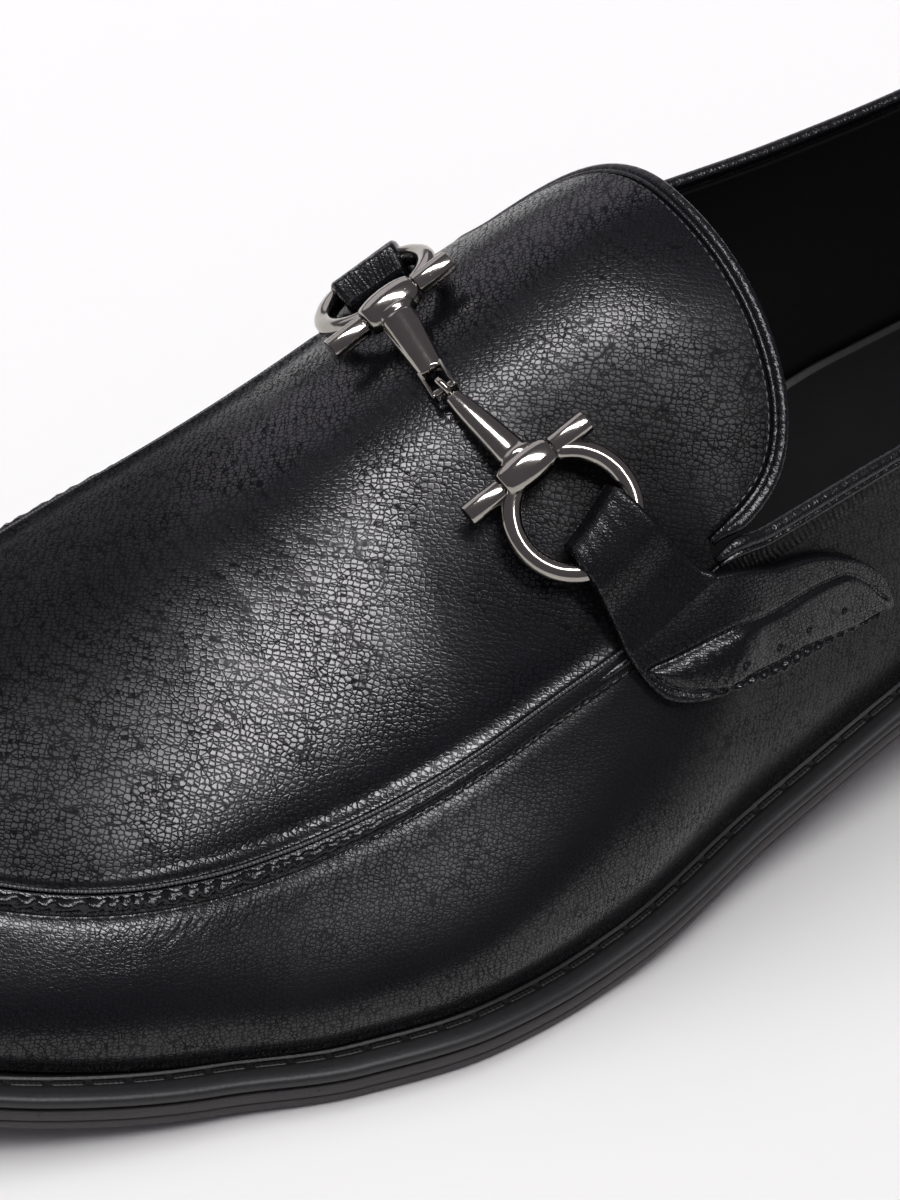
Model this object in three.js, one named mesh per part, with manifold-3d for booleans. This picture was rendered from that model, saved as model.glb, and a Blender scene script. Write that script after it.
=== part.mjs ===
// A leather loafer with a raised seam round its plug and a snaffle bit strapped across the instep.
// It is the left shoe. Lengths are in millimetres, the toe points to +X, the outer side to +Y, up is +Z.
// Every form is worked out along the shoe's length s, from the back of the heel, and the group
// then moves the whole shoe over the middle of its box.
import * as THREE from "three";
import { mergeVertices } from "three/addons/utils/BufferGeometryUtils.js";
import Module from "manifold-3d";

const wasm = await Module();
wasm.setup();

// Driving dimensions
const LENGTH = 300; // outsole, heel to toe
const BALL_WIDTH = 106; // outsole, as if both sides were widest at one place
const INSTEP_HEIGHT = 93; // floor to the ridge of the instep under the tongue's end
const COLLAR_HEIGHT = 88; // floor to the top of the piping at the back
const HEEL_HEIGHT = 20; // floor to the outsole at the heel's back
const TOE_SPRING = 12; // floor to the outsole at the toe's tip
const HEEL_LENGTH = 78; // heel block, back to breast
const OUTSOLE = 3.7; // thickness
const WELT = 2.2; // thickness
const WELT_WIDTH = 9; // across the strip, half of it under the upper
const WELT_SHOWING = 5; // rim to upper
const INSOLE = 3; // thickness
const WALL = 2; // upper's leather and lining together
const PIPING = 2.9; // diameter of the bound edges
const GAP = 0.3; // clearance between pieces that touch
const EDGE_GROOVE = 0.6; // depth of the line round the outsole's edge
const SEAM_LIP = 1.1; // height of the plug's edge above the leather
const SEAM_BAND = 4.5; // width of the raised edge
const TONGUE_LENGTH = 19; // from the seam's end back to the tongue's edge
const STRAP = 1.7; // thickness of the tabs that hold the bit
const RING = 20; // outer diameter of a bit ring
const RING_WIRE = 3.1; // diameter of its wire
const CHEEK_BAR = 22; // length of the bar across a ring
const BIT_SPAN = 36; // from one cheek bar to the other
const BIT_LIFT = 3.5; // middle of a ring above the leather
const EYE = 5.6; // outer diameter of the link's eyes
const EYE_WIRE = 1.5; // diameter of their wire

// A short table: names of its columns, then a row for each section
function table(names, rows) {
  const columns = {};
  names.split(" ").forEach((name, i) => {
    columns[name] = rows.map((row) => row[i]);
  });
  return columns;
}

// Outline of the sole: half widths as shares of the ball width
const PLAN = table("at inner outer", [
  [0, 0.3, 0.3],
  [0.06, 0.315, 0.32],
  [0.15, 0.32, 0.335],
  [0.25, 0.3, 0.355],
  [0.37, 0.27, 0.405],
  [0.47, 0.28, 0.455],
  [0.57, 0.335, 0.523],
  [0.66, 0.41, 0.547],
  [0.73, 0.435, 0.52],
  [0.8, 0.435, 0.465],
  [0.88, 0.41, 0.425],
  [0.94, 0.39, 0.41],
  [1, 0.37, 0.38],
]);

// Underside above the floor: shares of the heel height and of the toe spring
const RISE = table("at heel toe", [
  [0, 1, 0],
  [0.1, 0.98, 0],
  [0.25, 0.92, 0],
  [0.35, 0.68, 0],
  [0.45, 0.36, 0],
  [0.55, 0.1, 0],
  [0.62, 0, 0],
  [0.73, 0, 0],
  [0.8, 0, 0.1],
  [0.88, 0, 0.34],
  [0.94, 0, 0.64],
  [1, 0, 1],
]);

// Last above the plug: height of its ridge, and how far each side has dropped at a third of the
// ball width from the ridge, all as shares of the instep height
const TOP = table("at ridge outer inner", [
  [0.38, 1.021, 0.15, 0.237],
  [0.48, 0.909, 0.134, 0.28],
  [0.56, 0.781, 0.167, 0.263],
  [0.64, 0.648, 0.167, 0.204],
  [0.72, 0.566, 0.16, 0.183],
  [0.8, 0.501, 0.146, 0.165],
  [0.86, 0.446, 0.14, 0.151],
  [0.92, 0.366, 0.129, 0.14],
  [1, 0.237, 0.129, 0.129],
]);
const RIDGE_SIDE = -0.071; // ridge off the middle line, a share of the ball width
const DROP_AT = 0.33; // where the drop is given, a share of the ball width
const CROWN = 2.1; // power of the rounded section

// Upper edge of the side wall, which is the collar and then the raised seam:
// half widths as shares of the ball width, and the collar's height as a share of its height behind
const EDGE = table("at inner outer height", [
  [0.03, 0.236, 0.236, 1],
  [0.1, 0.269, 0.269, 0.943],
  [0.2, 0.278, 0.292, 0.841],
  [0.3, 0.294, 0.311, 0.79],
  [0.4, 0.323, 0.336, 0.75],
  [0.5, 0.349, 0.351, 0.693],
  [0.6, 0.338, 0.336, 0.6],
  [0.7, 0.333, 0.323, 0.5],
  [0.8, 0.294, 0.297, 0.45],
  [0.88, 0.266, 0.279, 0.4],
  [1, 0.245, 0.264, 0.35],
]);

// Side wall: how far it swells over the welt, as shares of the ball width, and its lean at the top
const SWELL = table("at inner outer lean", [
  [0, 0.038, 0.038, 80],
  [0.12, 0.033, 0.033, 80],
  [0.3, 0.024, 0.024, 80],
  [0.45, 0.028, 0.038, 76],
  [0.54, 0.038, 0.052, 64],
  [0.62, 0.047, 0.057, 52],
  [0.72, 0.047, 0.057, 45],
  [0.84, 0.038, 0.038, 40],
  [1, 0.028, 0.028, 34],
]);

// A strap from its ring to its foot: its two edges as shares of the length and as the way down
// from the ridge (0) past the seam (1) to the welt (2), and how much of the ring it still covers
const STRAP_SHAPE = table("at front front_down rear rear_down over", [
  [0, 0.5665, 0.752, 0.539, 0.7, 0.94],
  [0.06, 0.565, 0.8, 0.534, 0.735, 1],
  [0.16, 0.563, 0.87, 0.527, 0.82, 0.86],
  [0.28, 0.56, 0.965, 0.518, 0.92, 0.34],
  [0.4, 0.551, 1.09, 0.51, 1, 0.08],
  [0.52, 0.538, 1.24, 0.501, 1.06, 0],
  [0.64, 0.514, 1.36, 0.489, 1.105, 0],
  [0.76, 0.479, 1.44, 0.466, 1.155, 0],
  [0.88, 0.433, 1.51, 0.428, 1.24, 0],
  [0.96, 0.396, 1.565, 0.402, 1.38, 0],
  [1, 0.384, 1.575, 0.388, 1.48, 0],
]);

// Lines that run round the shoe: their ends and end rounding along the length, and their inset
const LINES = {
  sole: { heel: 0, toe: LENGTH, inset: 0, heelRound: 0.113 * LENGTH, toeRound: 0.207 * LENGTH },
  feather: {
    heel: 0.6 * WELT_SHOWING,
    toe: LENGTH - 1.3 * WELT_SHOWING,
    inset: WELT_SHOWING,
    heelRound: 0.103 * LENGTH,
    toeRound: 0.193 * LENGTH,
  },
  top: {
    heel: 0.03 * LENGTH,
    toe: 0.907 * LENGTH,
    inset: 0,
    heelRound: 0.1 * LENGTH,
    toeRound: 0.153 * LENGTH,
  },
};
const HEEL_POWER = 2.3; // fullness of the rounded heel end
const TOE_POWER = 2.15; // fullness of the rounded toe end
const JOIN = 0.507 * LENGTH; // where collar and tongue part
const BOTTOM = OUTSOLE + GAP + WELT; // sole and welt together
const INSIDE = new THREE.Vector3(JOIN, 0, HEEL_HEIGHT); // a point in the shoe's hollow
const RIDGE = RIDGE_SIDE * BALL_WIDTH;

const clamp = (value) => Math.min(1, Math.max(0, value));
const mix = (a, b, share) => a + (b - a) * share;

function fade(from, to, value) {
  const x = clamp((value - from) / (to - from));
  return x * x * (3 - 2 * x);
}

// A column's value at a place, on a smooth curve through the rows that never overshoots them
function read(columns, name, at) {
  const knots = columns.at;
  const values = columns[name];
  const last = knots.length - 1;
  const slope = (i) => (values[i + 1] - values[i]) / (knots[i + 1] - knots[i]);
  const tangent = (i) => {
    if (i === 0) return slope(0);
    if (i === last) return slope(last - 1);
    const before = slope(i - 1);
    const after = slope(i);
    return before * after <= 0 ? 0 : (2 * before * after) / (before + after);
  };
  let i = 0;
  while (i < last - 1 && at >= knots[i + 1]) i += 1;
  const width = knots[i + 1] - knots[i];
  const x = clamp((at - knots[i]) / width);
  return (
    (1 + 2 * x) * (1 - x) ** 2 * values[i] +
    x * (1 - x) ** 2 * width * tangent(i) +
    x * x * (3 - 2 * x) * values[i + 1] -
    x * x * (1 - x) * width * tangent(i + 1)
  );
}

const rise = (s) =>
  read(RISE, "heel", s / LENGTH) * HEEL_HEIGHT + read(RISE, "toe", s / LENGTH) * TOE_SPRING;

// Height of the last's top over the floor
function topHeight(s, y) {
  const drop = read(TOP, y > RIDGE ? "outer" : "inner", s / LENGTH);
  const off = Math.abs(y - RIDGE) / (DROP_AT * BALL_WIDTH);
  return INSTEP_HEIGHT * (read(TOP, "ridge", s / LENGTH) - drop * off ** CROWN);
}

// A line's place in plan at a share of the way from its heel end to its toe end
function plan(name, share, side) {
  const line = LINES[name];
  const s = mix(line.heel, line.toe, share);
  const rows = name === "top" ? EDGE : PLAN;
  const half = read(rows, side > 0 ? "outer" : "inner", s / LENGTH) * BALL_WIDTH - line.inset;
  const toe = clamp((s - (line.toe - line.toeRound)) / line.toeRound);
  const heel = clamp((line.heel + line.heelRound - s) / line.heelRound);
  const round = (1 - toe ** TOE_POWER) ** (1 / TOE_POWER) * (1 - heel ** HEEL_POWER) ** (1 / HEEL_POWER);
  return [s, side * half * round];
}

// The level direction that points out of the shoe from a line. Past either end the line goes on
// along the other side, so the ends point straight back and straight ahead.
function outward(name, share, side) {
  const angle = Math.acos(1 - 2 * clamp(share));
  const step = 0.01;
  const at = (turn) => {
    const [s, y] = plan(name, (1 - Math.cos(turn)) / 2, side);
    return [s, turn < 0 || turn > Math.PI ? -y : y];
  };
  const [s0, y0] = at(angle - step);
  const [s1, y1] = at(angle + step);
  const length = Math.hypot(s1 - s0, y1 - y0);
  return [(-side * (y1 - y0)) / length, (side * (s1 - s0)) / length];
}

// Upper edge of the side wall
function topEdge(share, side) {
  const [s, y] = plan("top", share, side);
  const collar = read(EDGE, "height", s / LENGTH) * COLLAR_HEIGHT - PIPING;
  const joined = fade(JOIN - 0.033 * LENGTH, JOIN + 0.013 * LENGTH, s);
  return new THREE.Vector3(s, y, mix(collar, topHeight(s, y), joined));
}

// A point of the side wall's outer face: up 0 at the welt, 1 at the collar or seam
function wall(share, side, up) {
  const [s, y] = plan("feather", share, side);
  const foot = new THREE.Vector3(s, y, rise(s) + BOTTOM + GAP);
  const head = topEdge(share, side);
  const out = new THREE.Vector3(...outward("feather", share, side), 0);
  const swell = read(SWELL, side > 0 ? "outer" : "inner", share) * BALL_WIDTH;
  const lean = THREE.MathUtils.degToRad(read(SWELL, "lean", share));
  const reach = 0.36 * foot.distanceTo(head);
  const low = foot.clone().addScaledVector(out, swell);
  low.z += 0.4 * (head.z - foot.z);
  const high = head.clone().addScaledVector(out, reach * Math.cos(lean));
  high.z -= reach * Math.sin(lean);
  return new THREE.CubicBezierCurve3(foot, low, high, head).getPoint(up);
}

// A point of the outer skin from the ridge (0) past the seam (1) to the welt (2)
function skin(share, side, down) {
  if (down > 1) return wall(share, side, 2 - down);
  const edge = topEdge(share, side);
  const y = mix(RIDGE, edge.y, down);
  return new THREE.Vector3(edge.x, y, topHeight(edge.x, y));
}

// Triangles whose shared corners are merged as they come
class Sheet {
  constructor() {
    this.points = [];
    this.lifts = [];
    this.faces = [];
    this.known = new Map();
  }

  point(place, lift = 0) {
    const key = place.toArray().map((value) => Math.round(value * 1e4)).join();
    if (!this.known.has(key)) {
      this.known.set(key, this.points.length);
      this.points.push(place.clone());
      this.lifts.push(lift);
    }
    return this.known.get(key);
  }

  face(a, b, c) {
    if (a !== b && b !== c && c !== a) this.faces.push([a, b, c]);
  }

  // Rows of corners, joined by two triangles between each four
  grid(rows) {
    for (let i = 0; i + 1 < rows.length; i += 1) {
      for (let j = 0; j + 1 < rows[i].length; j += 1) {
        this.face(rows[i][j], rows[i + 1][j], rows[i + 1][j + 1]);
        this.face(rows[i][j], rows[i + 1][j + 1], rows[i][j + 1]);
      }
    }
  }

  normals(away) {
    const sums = this.points.map(() => new THREE.Vector3());
    let outside = 0;
    this.faces.forEach(([a, b, c]) => {
      const side = this.points[b].clone().sub(this.points[a]);
      const turn = side.cross(this.points[c].clone().sub(this.points[a]));
      outside += turn.dot(this.points[a].clone().sub(away));
      [a, b, c].forEach((i) => sums[i].add(turn));
    });
    return sums.map((sum) => sum.normalize().multiplyScalar(Math.sign(outside)));
  }

  // An open sheet made solid: from its lifted outer face down to a depth, with its rims closed
  thicken(depth, away) {
    const normals = this.normals(away);
    const count = this.points.length;
    const inner = this.points.map((point, i) => point.clone().addScaledVector(normals[i], depth));
    this.points = this.points.map((point, i) => point.clone().addScaledVector(normals[i], this.lifts[i]));
    this.points.push(...inner);
    const edges = new Set(this.faces.flatMap(([a, b, c]) => [`${a} ${b}`, `${b} ${c}`, `${c} ${a}`]));
    const rims = [];
    edges.forEach((edge) => {
      const [a, b] = edge.split(" ").map(Number);
      if (!edges.has(`${b} ${a}`)) rims.push([b, a, a + count], [b, a + count, b + count]);
    });
    this.faces.push(...this.faces.map(([a, b, c]) => [a + count, c + count, b + count]), ...rims);
    return this.geometry();
  }

  // The closed shape, with its faces turned outwards
  geometry() {
    const volume = this.faces.reduce(
      (sum, [a, b, c]) => sum + this.points[a].dot(this.points[b].clone().cross(this.points[c])),
      0,
    );
    const faces = volume > 0 ? this.faces : this.faces.map(([a, b, c]) => [a, c, b]);
    return new THREE.BufferGeometry().setFromPoints(this.points).setIndex(faces.flat());
  }
}

// Shares of the way along a side, close together where the outline turns
function shares(from, to, steps) {
  const start = Math.acos(1 - 2 * from);
  const end = Math.acos(1 - 2 * to);
  return Array.from({ length: steps + 1 }, (_, i) => (1 - Math.cos(mix(start, end, i / steps))) / 2);
}

// The same shares on both sides: down the outer side, then back along the inner one
function around(stations) {
  const outer = stations.map((share) => ({ share, side: 1 }));
  const inner = stations.map((share) => ({ share, side: -1 })).reverse();
  return [...outer, ...inner];
}

function soleRow(sheet, ring, inset, height) {
  return ring.map(({ share, side }) => {
    const [s, y] = plan("sole", share, side);
    const [outS, outY] = outward("sole", share, side);
    const at = s - inset * outS;
    return sheet.point(new THREE.Vector3(at, y - inset * outY, height(at)));
  });
}

// A layer under the foot: its rim follows the sole's outline through the rows of a section, and
// its two faces run straight across from side to side
function layer(stations, section) {
  const sheet = new Sheet();
  const ring = around(stations);
  const rows = section.map(([inset, height]) => soleRow(sheet, ring, inset, height));
  sheet.grid(rows.map((row) => [...row, row[0]]));
  const across = (row) => stations.map((_, i) => [row[i], row[row.length - 1 - i]]);
  sheet.grid(across(rows[0]));
  sheet.grid(across(rows[rows.length - 1]).map(([outer, inner]) => [inner, outer]));
  return sheet.geometry();
}

const SOLE_STATIONS = shares(0, 1, 30);
const above = (height) => (s) => rise(s) + height;

function outsole() {
  const line = 0.55 * OUTSOLE; // height of the line that parts its two bands
  const bevel = 0.25 * OUTSOLE;
  return layer(SOLE_STATIONS, [
    [bevel, above(0)],
    [0, above(bevel)],
    [0, above(line - EDGE_GROOVE / 2)],
    [EDGE_GROOVE, above(line)],
    [0, above(line + EDGE_GROOVE / 2)],
    [0, above(OUTSOLE)],
  ]);
}

function heel() {
  const breast = HEEL_LENGTH / LENGTH;
  const upTo = (share) => (s) => share * (rise(s) - GAP);
  return layer(shares(0, breast, 12), [
    [0.2 * WELT_SHOWING, upTo(1)],
    [0.44 * WELT_SHOWING, upTo(0.6)],
    [0.5 * WELT_SHOWING, upTo(0.06)],
    [0.62 * WELT_SHOWING, upTo(0)],
  ]);
}

function insole() {
  const inset = WELT_WIDTH + GAP;
  const base = OUTSOLE + GAP;
  return layer(shares(0, 1, 24), [
    [inset, above(base)],
    [inset, above(base + INSOLE)],
  ]);
}

// The welt is a closed strip round the sole, with a rounded rim
function welt() {
  const base = OUTSOLE + GAP;
  const rounding = 0.3 * WELT;
  const sheet = new Sheet();
  const ring = around(SOLE_STATIONS);
  const section = [
    [rounding, base],
    [0, base + rounding],
    [0, base + WELT - rounding],
    [rounding, base + WELT],
    [WELT_WIDTH, base + WELT],
    [WELT_WIDTH, base],
    [rounding, base],
  ];
  const rows = section.map(([inset, height]) => soleRow(sheet, ring, inset, above(height)));
  sheet.grid(rows.map((row) => [...row, row[0]]));
  return sheet.geometry();
}

const TOP_LENGTH = LINES.top.toe - LINES.top.heel;
const shareAt = (s) => (s - LINES.top.heel) / TOP_LENGTH;
const BACK_STATIONS = shares(0, shareAt(JOIN), 14);
const FRONT_STATIONS = shares(shareAt(JOIN), 1, 17);

// The tongue's free edge from the inner side's join round to the outer side's
function tongueEdge() {
  const steps = 20;
  const inner = topEdge(shareAt(JOIN), -1);
  const outer = topEdge(shareAt(JOIN), 1);
  const inset = WALL + PIPING / 3;
  const reach = TONGUE_LENGTH - GAP;
  const fullness = 3.4;
  return Array.from({ length: steps - 1 }, (_, i) => {
    const angle = ((i + 1) / steps - 0.5) * Math.PI;
    const half = angle > 0 ? outer.y - RIDGE - inset : RIDGE - inner.y - inset;
    const y = RIDGE + Math.sign(angle) * half * Math.abs(Math.sin(angle)) ** (2 / fullness);
    const s = JOIN - GAP - reach * Math.cos(angle) ** (2 / fullness);
    return new THREE.Vector3(s, y, topHeight(s, y));
  });
}

// Lift of the raised seam, which dies out under the straps
function seamLift(s) {
  return fade(JOIN + 0.063 * LENGTH, JOIN + 0.12 * LENGTH, s);
}

// The upper: a closed side wall, and the plug with its tongue, which meet in the raised seam
function upper() {
  const sheet = new Sheet();
  const rows = [0, 0.14, 0.3, 0.46, 0.63, 0.8];
  const column = ({ share, side }) => {
    const height = topEdge(share, side).distanceTo(wall(share, side, 0));
    const band = 1 - SEAM_BAND / height;
    const lift = seamLift(topEdge(share, side).x) * SEAM_LIP;
    const low = rows.map((up) => sheet.point(wall(share, side, up * band)));
    const folded = 1 - (0.3 * SEAM_BAND) / height;
    return [
      ...low,
      sheet.point(wall(share, side, band)),
      sheet.point(wall(share, side, folded), 0.5 * lift),
      sheet.point(wall(share, side, 1), -0.2 * lift),
    ];
  };
  const ring = around([...BACK_STATIONS, ...FRONT_STATIONS.slice(1)]);
  const columns = ring.map(column);
  sheet.grid([...columns, columns[0]]);

  const spine = [JOIN + 0.01 * LENGTH, LINES.top.toe - 0.075 * LENGTH];
  const spoke = (edge) => {
    const centre = new THREE.Vector3(THREE.MathUtils.clamp(edge.x, ...spine), 0, 0);
    const length = Math.hypot(edge.x - centre.x, edge.y);
    const lift = seamLift(edge.x) * SEAM_LIP;
    const inward = (distance, raised) => {
      const share = Math.min(distance / length, 1);
      const s = mix(edge.x, centre.x, share);
      const y = mix(edge.y, centre.y, share);
      return sheet.point(new THREE.Vector3(s, y, topHeight(s, y)), raised);
    };
    const band = [0.2, 0.5, 1].map((share, i) => inward(share * SEAM_BAND, [1, 0.7, 0][i] * lift));
    const rest = [0.22, 0.44, 0.64, 0.82, 1].map((share) => inward(mix(SEAM_BAND, length, share), 0));
    return [sheet.point(edge, -0.2 * lift), ...band, ...rest];
  };
  const seam = around(FRONT_STATIONS).map(({ share, side }) => topEdge(share, side));
  const spokes = [...seam, ...tongueEdge()].map(spoke);
  sheet.grid([...spokes, spokes[0]]);
  return sheet.thicken(-WALL, INSIDE);
}

// A rope of leather round a row of places
function piping(places) {
  const round = new THREE.Shape().absarc(0, 0, PIPING / 2, 0, 2 * Math.PI);
  const route = new THREE.CatmullRomCurve3(places);
  const steps = Math.round(1.2 * places.length);
  const settings = { steps, curveSegments: 4, bevelEnabled: false, extrudePath: route };
  return new THREE.ExtrudeGeometry(round, settings);
}

// The collar's piping stands on the wall's upper edge, from one join round the heel to the other
function collarPiping() {
  const stations = BACK_STATIONS.filter((share) => share < shareAt(JOIN - 1.5 * PIPING));
  const half = around([...stations].reverse());
  const route = [...half.slice(0, stations.length), ...half.slice(stations.length + 1)];
  const places = route.map(({ share, side }) => {
    const [outS, outY] = outward("top", share, side);
    const place = topEdge(share, side);
    const mid = new THREE.Vector3(-outS * (WALL / 2), -outY * (WALL / 2), PIPING / 2 + GAP);
    return place.add(mid);
  });
  return piping(places);
}

// The way that the last's top faces at a place
function topNormal(s, y) {
  const step = 1;
  const along = new THREE.Vector3(2 * step, 0, topHeight(s + step, y) - topHeight(s - step, y));
  const across = new THREE.Vector3(0, 2 * step, topHeight(s, y + step) - topHeight(s, y - step));
  return along.cross(across).normalize();
}

// The tongue's piping lies against its free edge, clear of the joins
function tonguePiping() {
  const edge = tongueEdge();
  const places = edge.slice(1, -1).map((place, i) => {
    const up = topNormal(place.x, place.y);
    const out = edge[i].clone().sub(edge[i + 2]).cross(up).normalize();
    return place.clone().addScaledVector(out, PIPING / 2 + GAP).addScaledVector(up, -WALL / 2);
  });
  return piping(places.filter((place) => place.x < JOIN - 1.3 * PIPING));
}

// Places of the bit: each cheek bar's middle and the directions of its ring's plane
const BIT_AT = 0.57 * LENGTH;
const BIT_MIDDLE = -0.018 * BALL_WIDTH;
const LINK_AT = BIT_AT + 0.012 * LENGTH;
const RING_BACK = 0.01 * LENGTH; // the strap pulls the ring this far back along its bar
const RING_RADIUS = (RING - RING_WIRE) / 2;

function bitFrame(side) {
  const tilt = 0.83; // the ring lies on a slope of about this cosine
  const y = BIT_MIDDLE + side * (BIT_SPAN / 2 + tilt * RING_RADIUS);
  const s = BIT_AT - RING_BACK;
  const step = 1;
  const here = (ds, dy) => new THREE.Vector3(s + ds, y + dy, topHeight(s + ds, y + dy));
  const along = here(step, 0).sub(here(-step, 0)).normalize();
  const across = here(0, step).sub(here(0, -step)).normalize();
  const up = along.clone().cross(across).normalize();
  across.copy(up).cross(along);
  const ring = here(0, 0).addScaledVector(up, BIT_LIFT);
  const bar = ring.clone().addScaledVector(along, RING_BACK).addScaledVector(across, -side * RING_RADIUS);
  return { along, across, up, ring, bar };
}

const OUTER_BIT = bitFrame(1);
const INNER_BIT = bitFrame(-1);
const LINK = new THREE.Vector3(LINK_AT, BIT_MIDDLE, topHeight(LINK_AT, BIT_MIDDLE) + BIT_LIFT);

function solid(geometry) {
  const bare = geometry.clone();
  bare.deleteAttribute("normal");
  bare.deleteAttribute("uv");
  const merged = mergeVertices(bare, 1e-4);
  return new wasm.Manifold(
    new wasm.Mesh({
      numProp: 3,
      vertProperties: merged.attributes.position.array,
      triVerts: new Uint32Array(merged.index.array),
    }),
  );
}

function shell(manifold) {
  const mesh = manifold.getMesh();
  const places = new THREE.BufferAttribute(new Float32Array(mesh.vertProperties), 3);
  const corners = new THREE.BufferAttribute(new Uint32Array(mesh.triVerts), 1);
  return new THREE.BufferGeometry().setAttribute("position", places).setIndex(corners);
}

// A turned bar from one place towards another: rows of distance along it and radius
function turned(from, to, rows) {
  const ends = [[rows[0][0], 0], ...rows, [rows[rows.length - 1][0], 0]];
  const profile = ends.map(([along, radius]) => new THREE.Vector2(radius, along));
  const axis = to.clone().sub(from).normalize();
  const turn = new THREE.Quaternion().setFromUnitVectors(new THREE.Vector3(0, 1, 0), axis);
  return new THREE.LatheGeometry(profile, 12).applyQuaternion(turn).translate(...from.toArray());
}

function hoop(centre, normal, radius, wire, steps) {
  const turn = new THREE.Quaternion().setFromUnitVectors(new THREE.Vector3(0, 0, 1), normal);
  const ring = new THREE.TorusGeometry(radius, wire / 2, 8, steps);
  return ring.applyQuaternion(turn).translate(...centre.toArray());
}

const bitRing = (frame, extra) => hoop(frame.ring, frame.up, RING_RADIUS, RING_WIRE + 2 * extra, 28);
const BOSS = 1.02 * RING_WIRE; // radius of the boss in the middle of a cheek bar

// A ring with its bar and the boss that carries the mouth bar, cast in one
function bitCheek(frame) {
  const end = CHEEK_BAR / 2;
  const thick = 0.6 * RING_WIRE;
  const neck = 0.42 * RING_WIRE;
  const half = [
    [0, BOSS],
    [0.6 * BOSS, 0.85 * BOSS],
    [BOSS, neck],
    [1.3 * BOSS, neck],
    [1.45 * BOSS, thick],
    [end - 0.4 * thick, thick],
    [end, 0.7 * thick],
  ];
  const rows = [...half.slice(1).reverse().map(([at, radius]) => [-at, radius]), ...half];
  const bar = turned(frame.bar, frame.bar.clone().add(frame.along), rows);
  return shell(solid(bitRing(frame, 0)).add(solid(bar)));
}

// A mouth bar from its boss to its eye in the link
function bitBar(frame, upright) {
  const eyeRadius = (EYE - EYE_WIRE) / 2;
  const apart = (2 * eyeRadius - EYE_WIRE - GAP) / 2 + 0.05;
  const length = frame.bar.distanceTo(LINK) - apart;
  const axis = LINK.clone().sub(frame.bar).normalize();
  const eye = frame.bar.clone().addScaledVector(axis, length);
  const sideways = axis.clone().cross(frame.up).normalize();
  const normal = upright ? sideways : sideways.clone().cross(axis).normalize();
  const start = BOSS + GAP;
  const end = length - eyeRadius;
  const rows = [
    [start, 0.62 * RING_WIRE],
    [mix(start, end, 0.2), 0.78 * RING_WIRE],
    [mix(start, end, 0.75), 0.44 * RING_WIRE],
    [end, 0.36 * RING_WIRE],
  ];
  const bar = solid(turned(frame.bar, LINK, rows));
  return shell(bar.add(solid(hoop(eye, normal, eyeRadius, EYE_WIRE, 16))));
}

// A strap: its loop holds the ring, and its foot lies along the wall under the collar
function strap(side, frame) {
  const sheet = new Sheet();
  const over = BIT_LIFT + RING_WIRE / 2 + GAP + 0.9 * STRAP;
  const steps = 18;
  const grid = Array.from({ length: steps + 1 }, (_, i) => {
    const at = (i / steps) ** 1.25;
    const value = (name) => read(STRAP_SHAPE, name, at);
    const height = mix(STRAP + GAP, over, value("over"));
    return [0, 0.12, 0.5, 0.88, 1].map((w, j) => {
      const share = shareAt(mix(value("front"), value("rear"), w) * LENGTH);
      const place = skin(share, side, mix(value("front_down"), value("rear_down"), w));
      return sheet.point(place, height * [0.8, 1, 1.04, 1, 0.8][j]);
    });
  });
  sheet.grid(grid);
  const tab = solid(sheet.thicken(GAP, INSIDE));
  return shell(tab.subtract(solid(bitRing(frame, GAP))));
}

const LEATHER = { color: 0x131316, roughness: 0.42, metalness: 0 };
const LINING = { color: 0x1b1b1e, roughness: 0.9, metalness: 0 };
const RUBBER = { color: 0x4a4649, roughness: 0.6, metalness: 0 };
const METAL = { color: 0x8c8884, roughness: 0.2, metalness: 1 };

// The outsole's box gives the middle that the whole shoe stands over
const PIECES = [
  ["upper", upper(), LEATHER],
  ["outsole", outsole(), RUBBER],
  ["welt", welt(), LEATHER],
  ["heel", heel(), RUBBER],
  ["insole", insole(), LINING],
  ["collar_piping", collarPiping(), LEATHER],
  ["tongue_piping", tonguePiping(), LEATHER],
  ["strap_outer", strap(1, OUTER_BIT), LEATHER],
  ["strap_inner", strap(-1, INNER_BIT), LEATHER],
  ["bit_cheek_outer", bitCheek(OUTER_BIT), METAL],
  ["bit_cheek_inner", bitCheek(INNER_BIT), METAL],
  ["bit_bar_outer", bitBar(OUTER_BIT, true), METAL],
  ["bit_bar_inner", bitBar(INNER_BIT, false), METAL],
];

const loafer = new THREE.Group();
PIECES.forEach(([name, geometry, look]) => {
  const mesh = new THREE.Mesh(geometry, new THREE.MeshStandardMaterial(look));
  mesh.name = name;
  loafer.add(mesh);
});
const sole = loafer.getObjectByName("outsole");
const middle = new THREE.Box3().setFromObject(sole).getCenter(new THREE.Vector3());
loafer.position.set(-middle.x, -middle.y, 0);

export default loafer;
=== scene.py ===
# %% [markdown]
# A black leather loafer is dressed here, piece by piece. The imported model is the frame: it holds
# every piece at its real size and place, and this script gives each one its finished surface.
# The frame is loaded first, because everything after it is measured against its box.

# %% Load the frame
import math

import bpy
import numpy as np
from mathutils import Matrix, Vector


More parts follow.
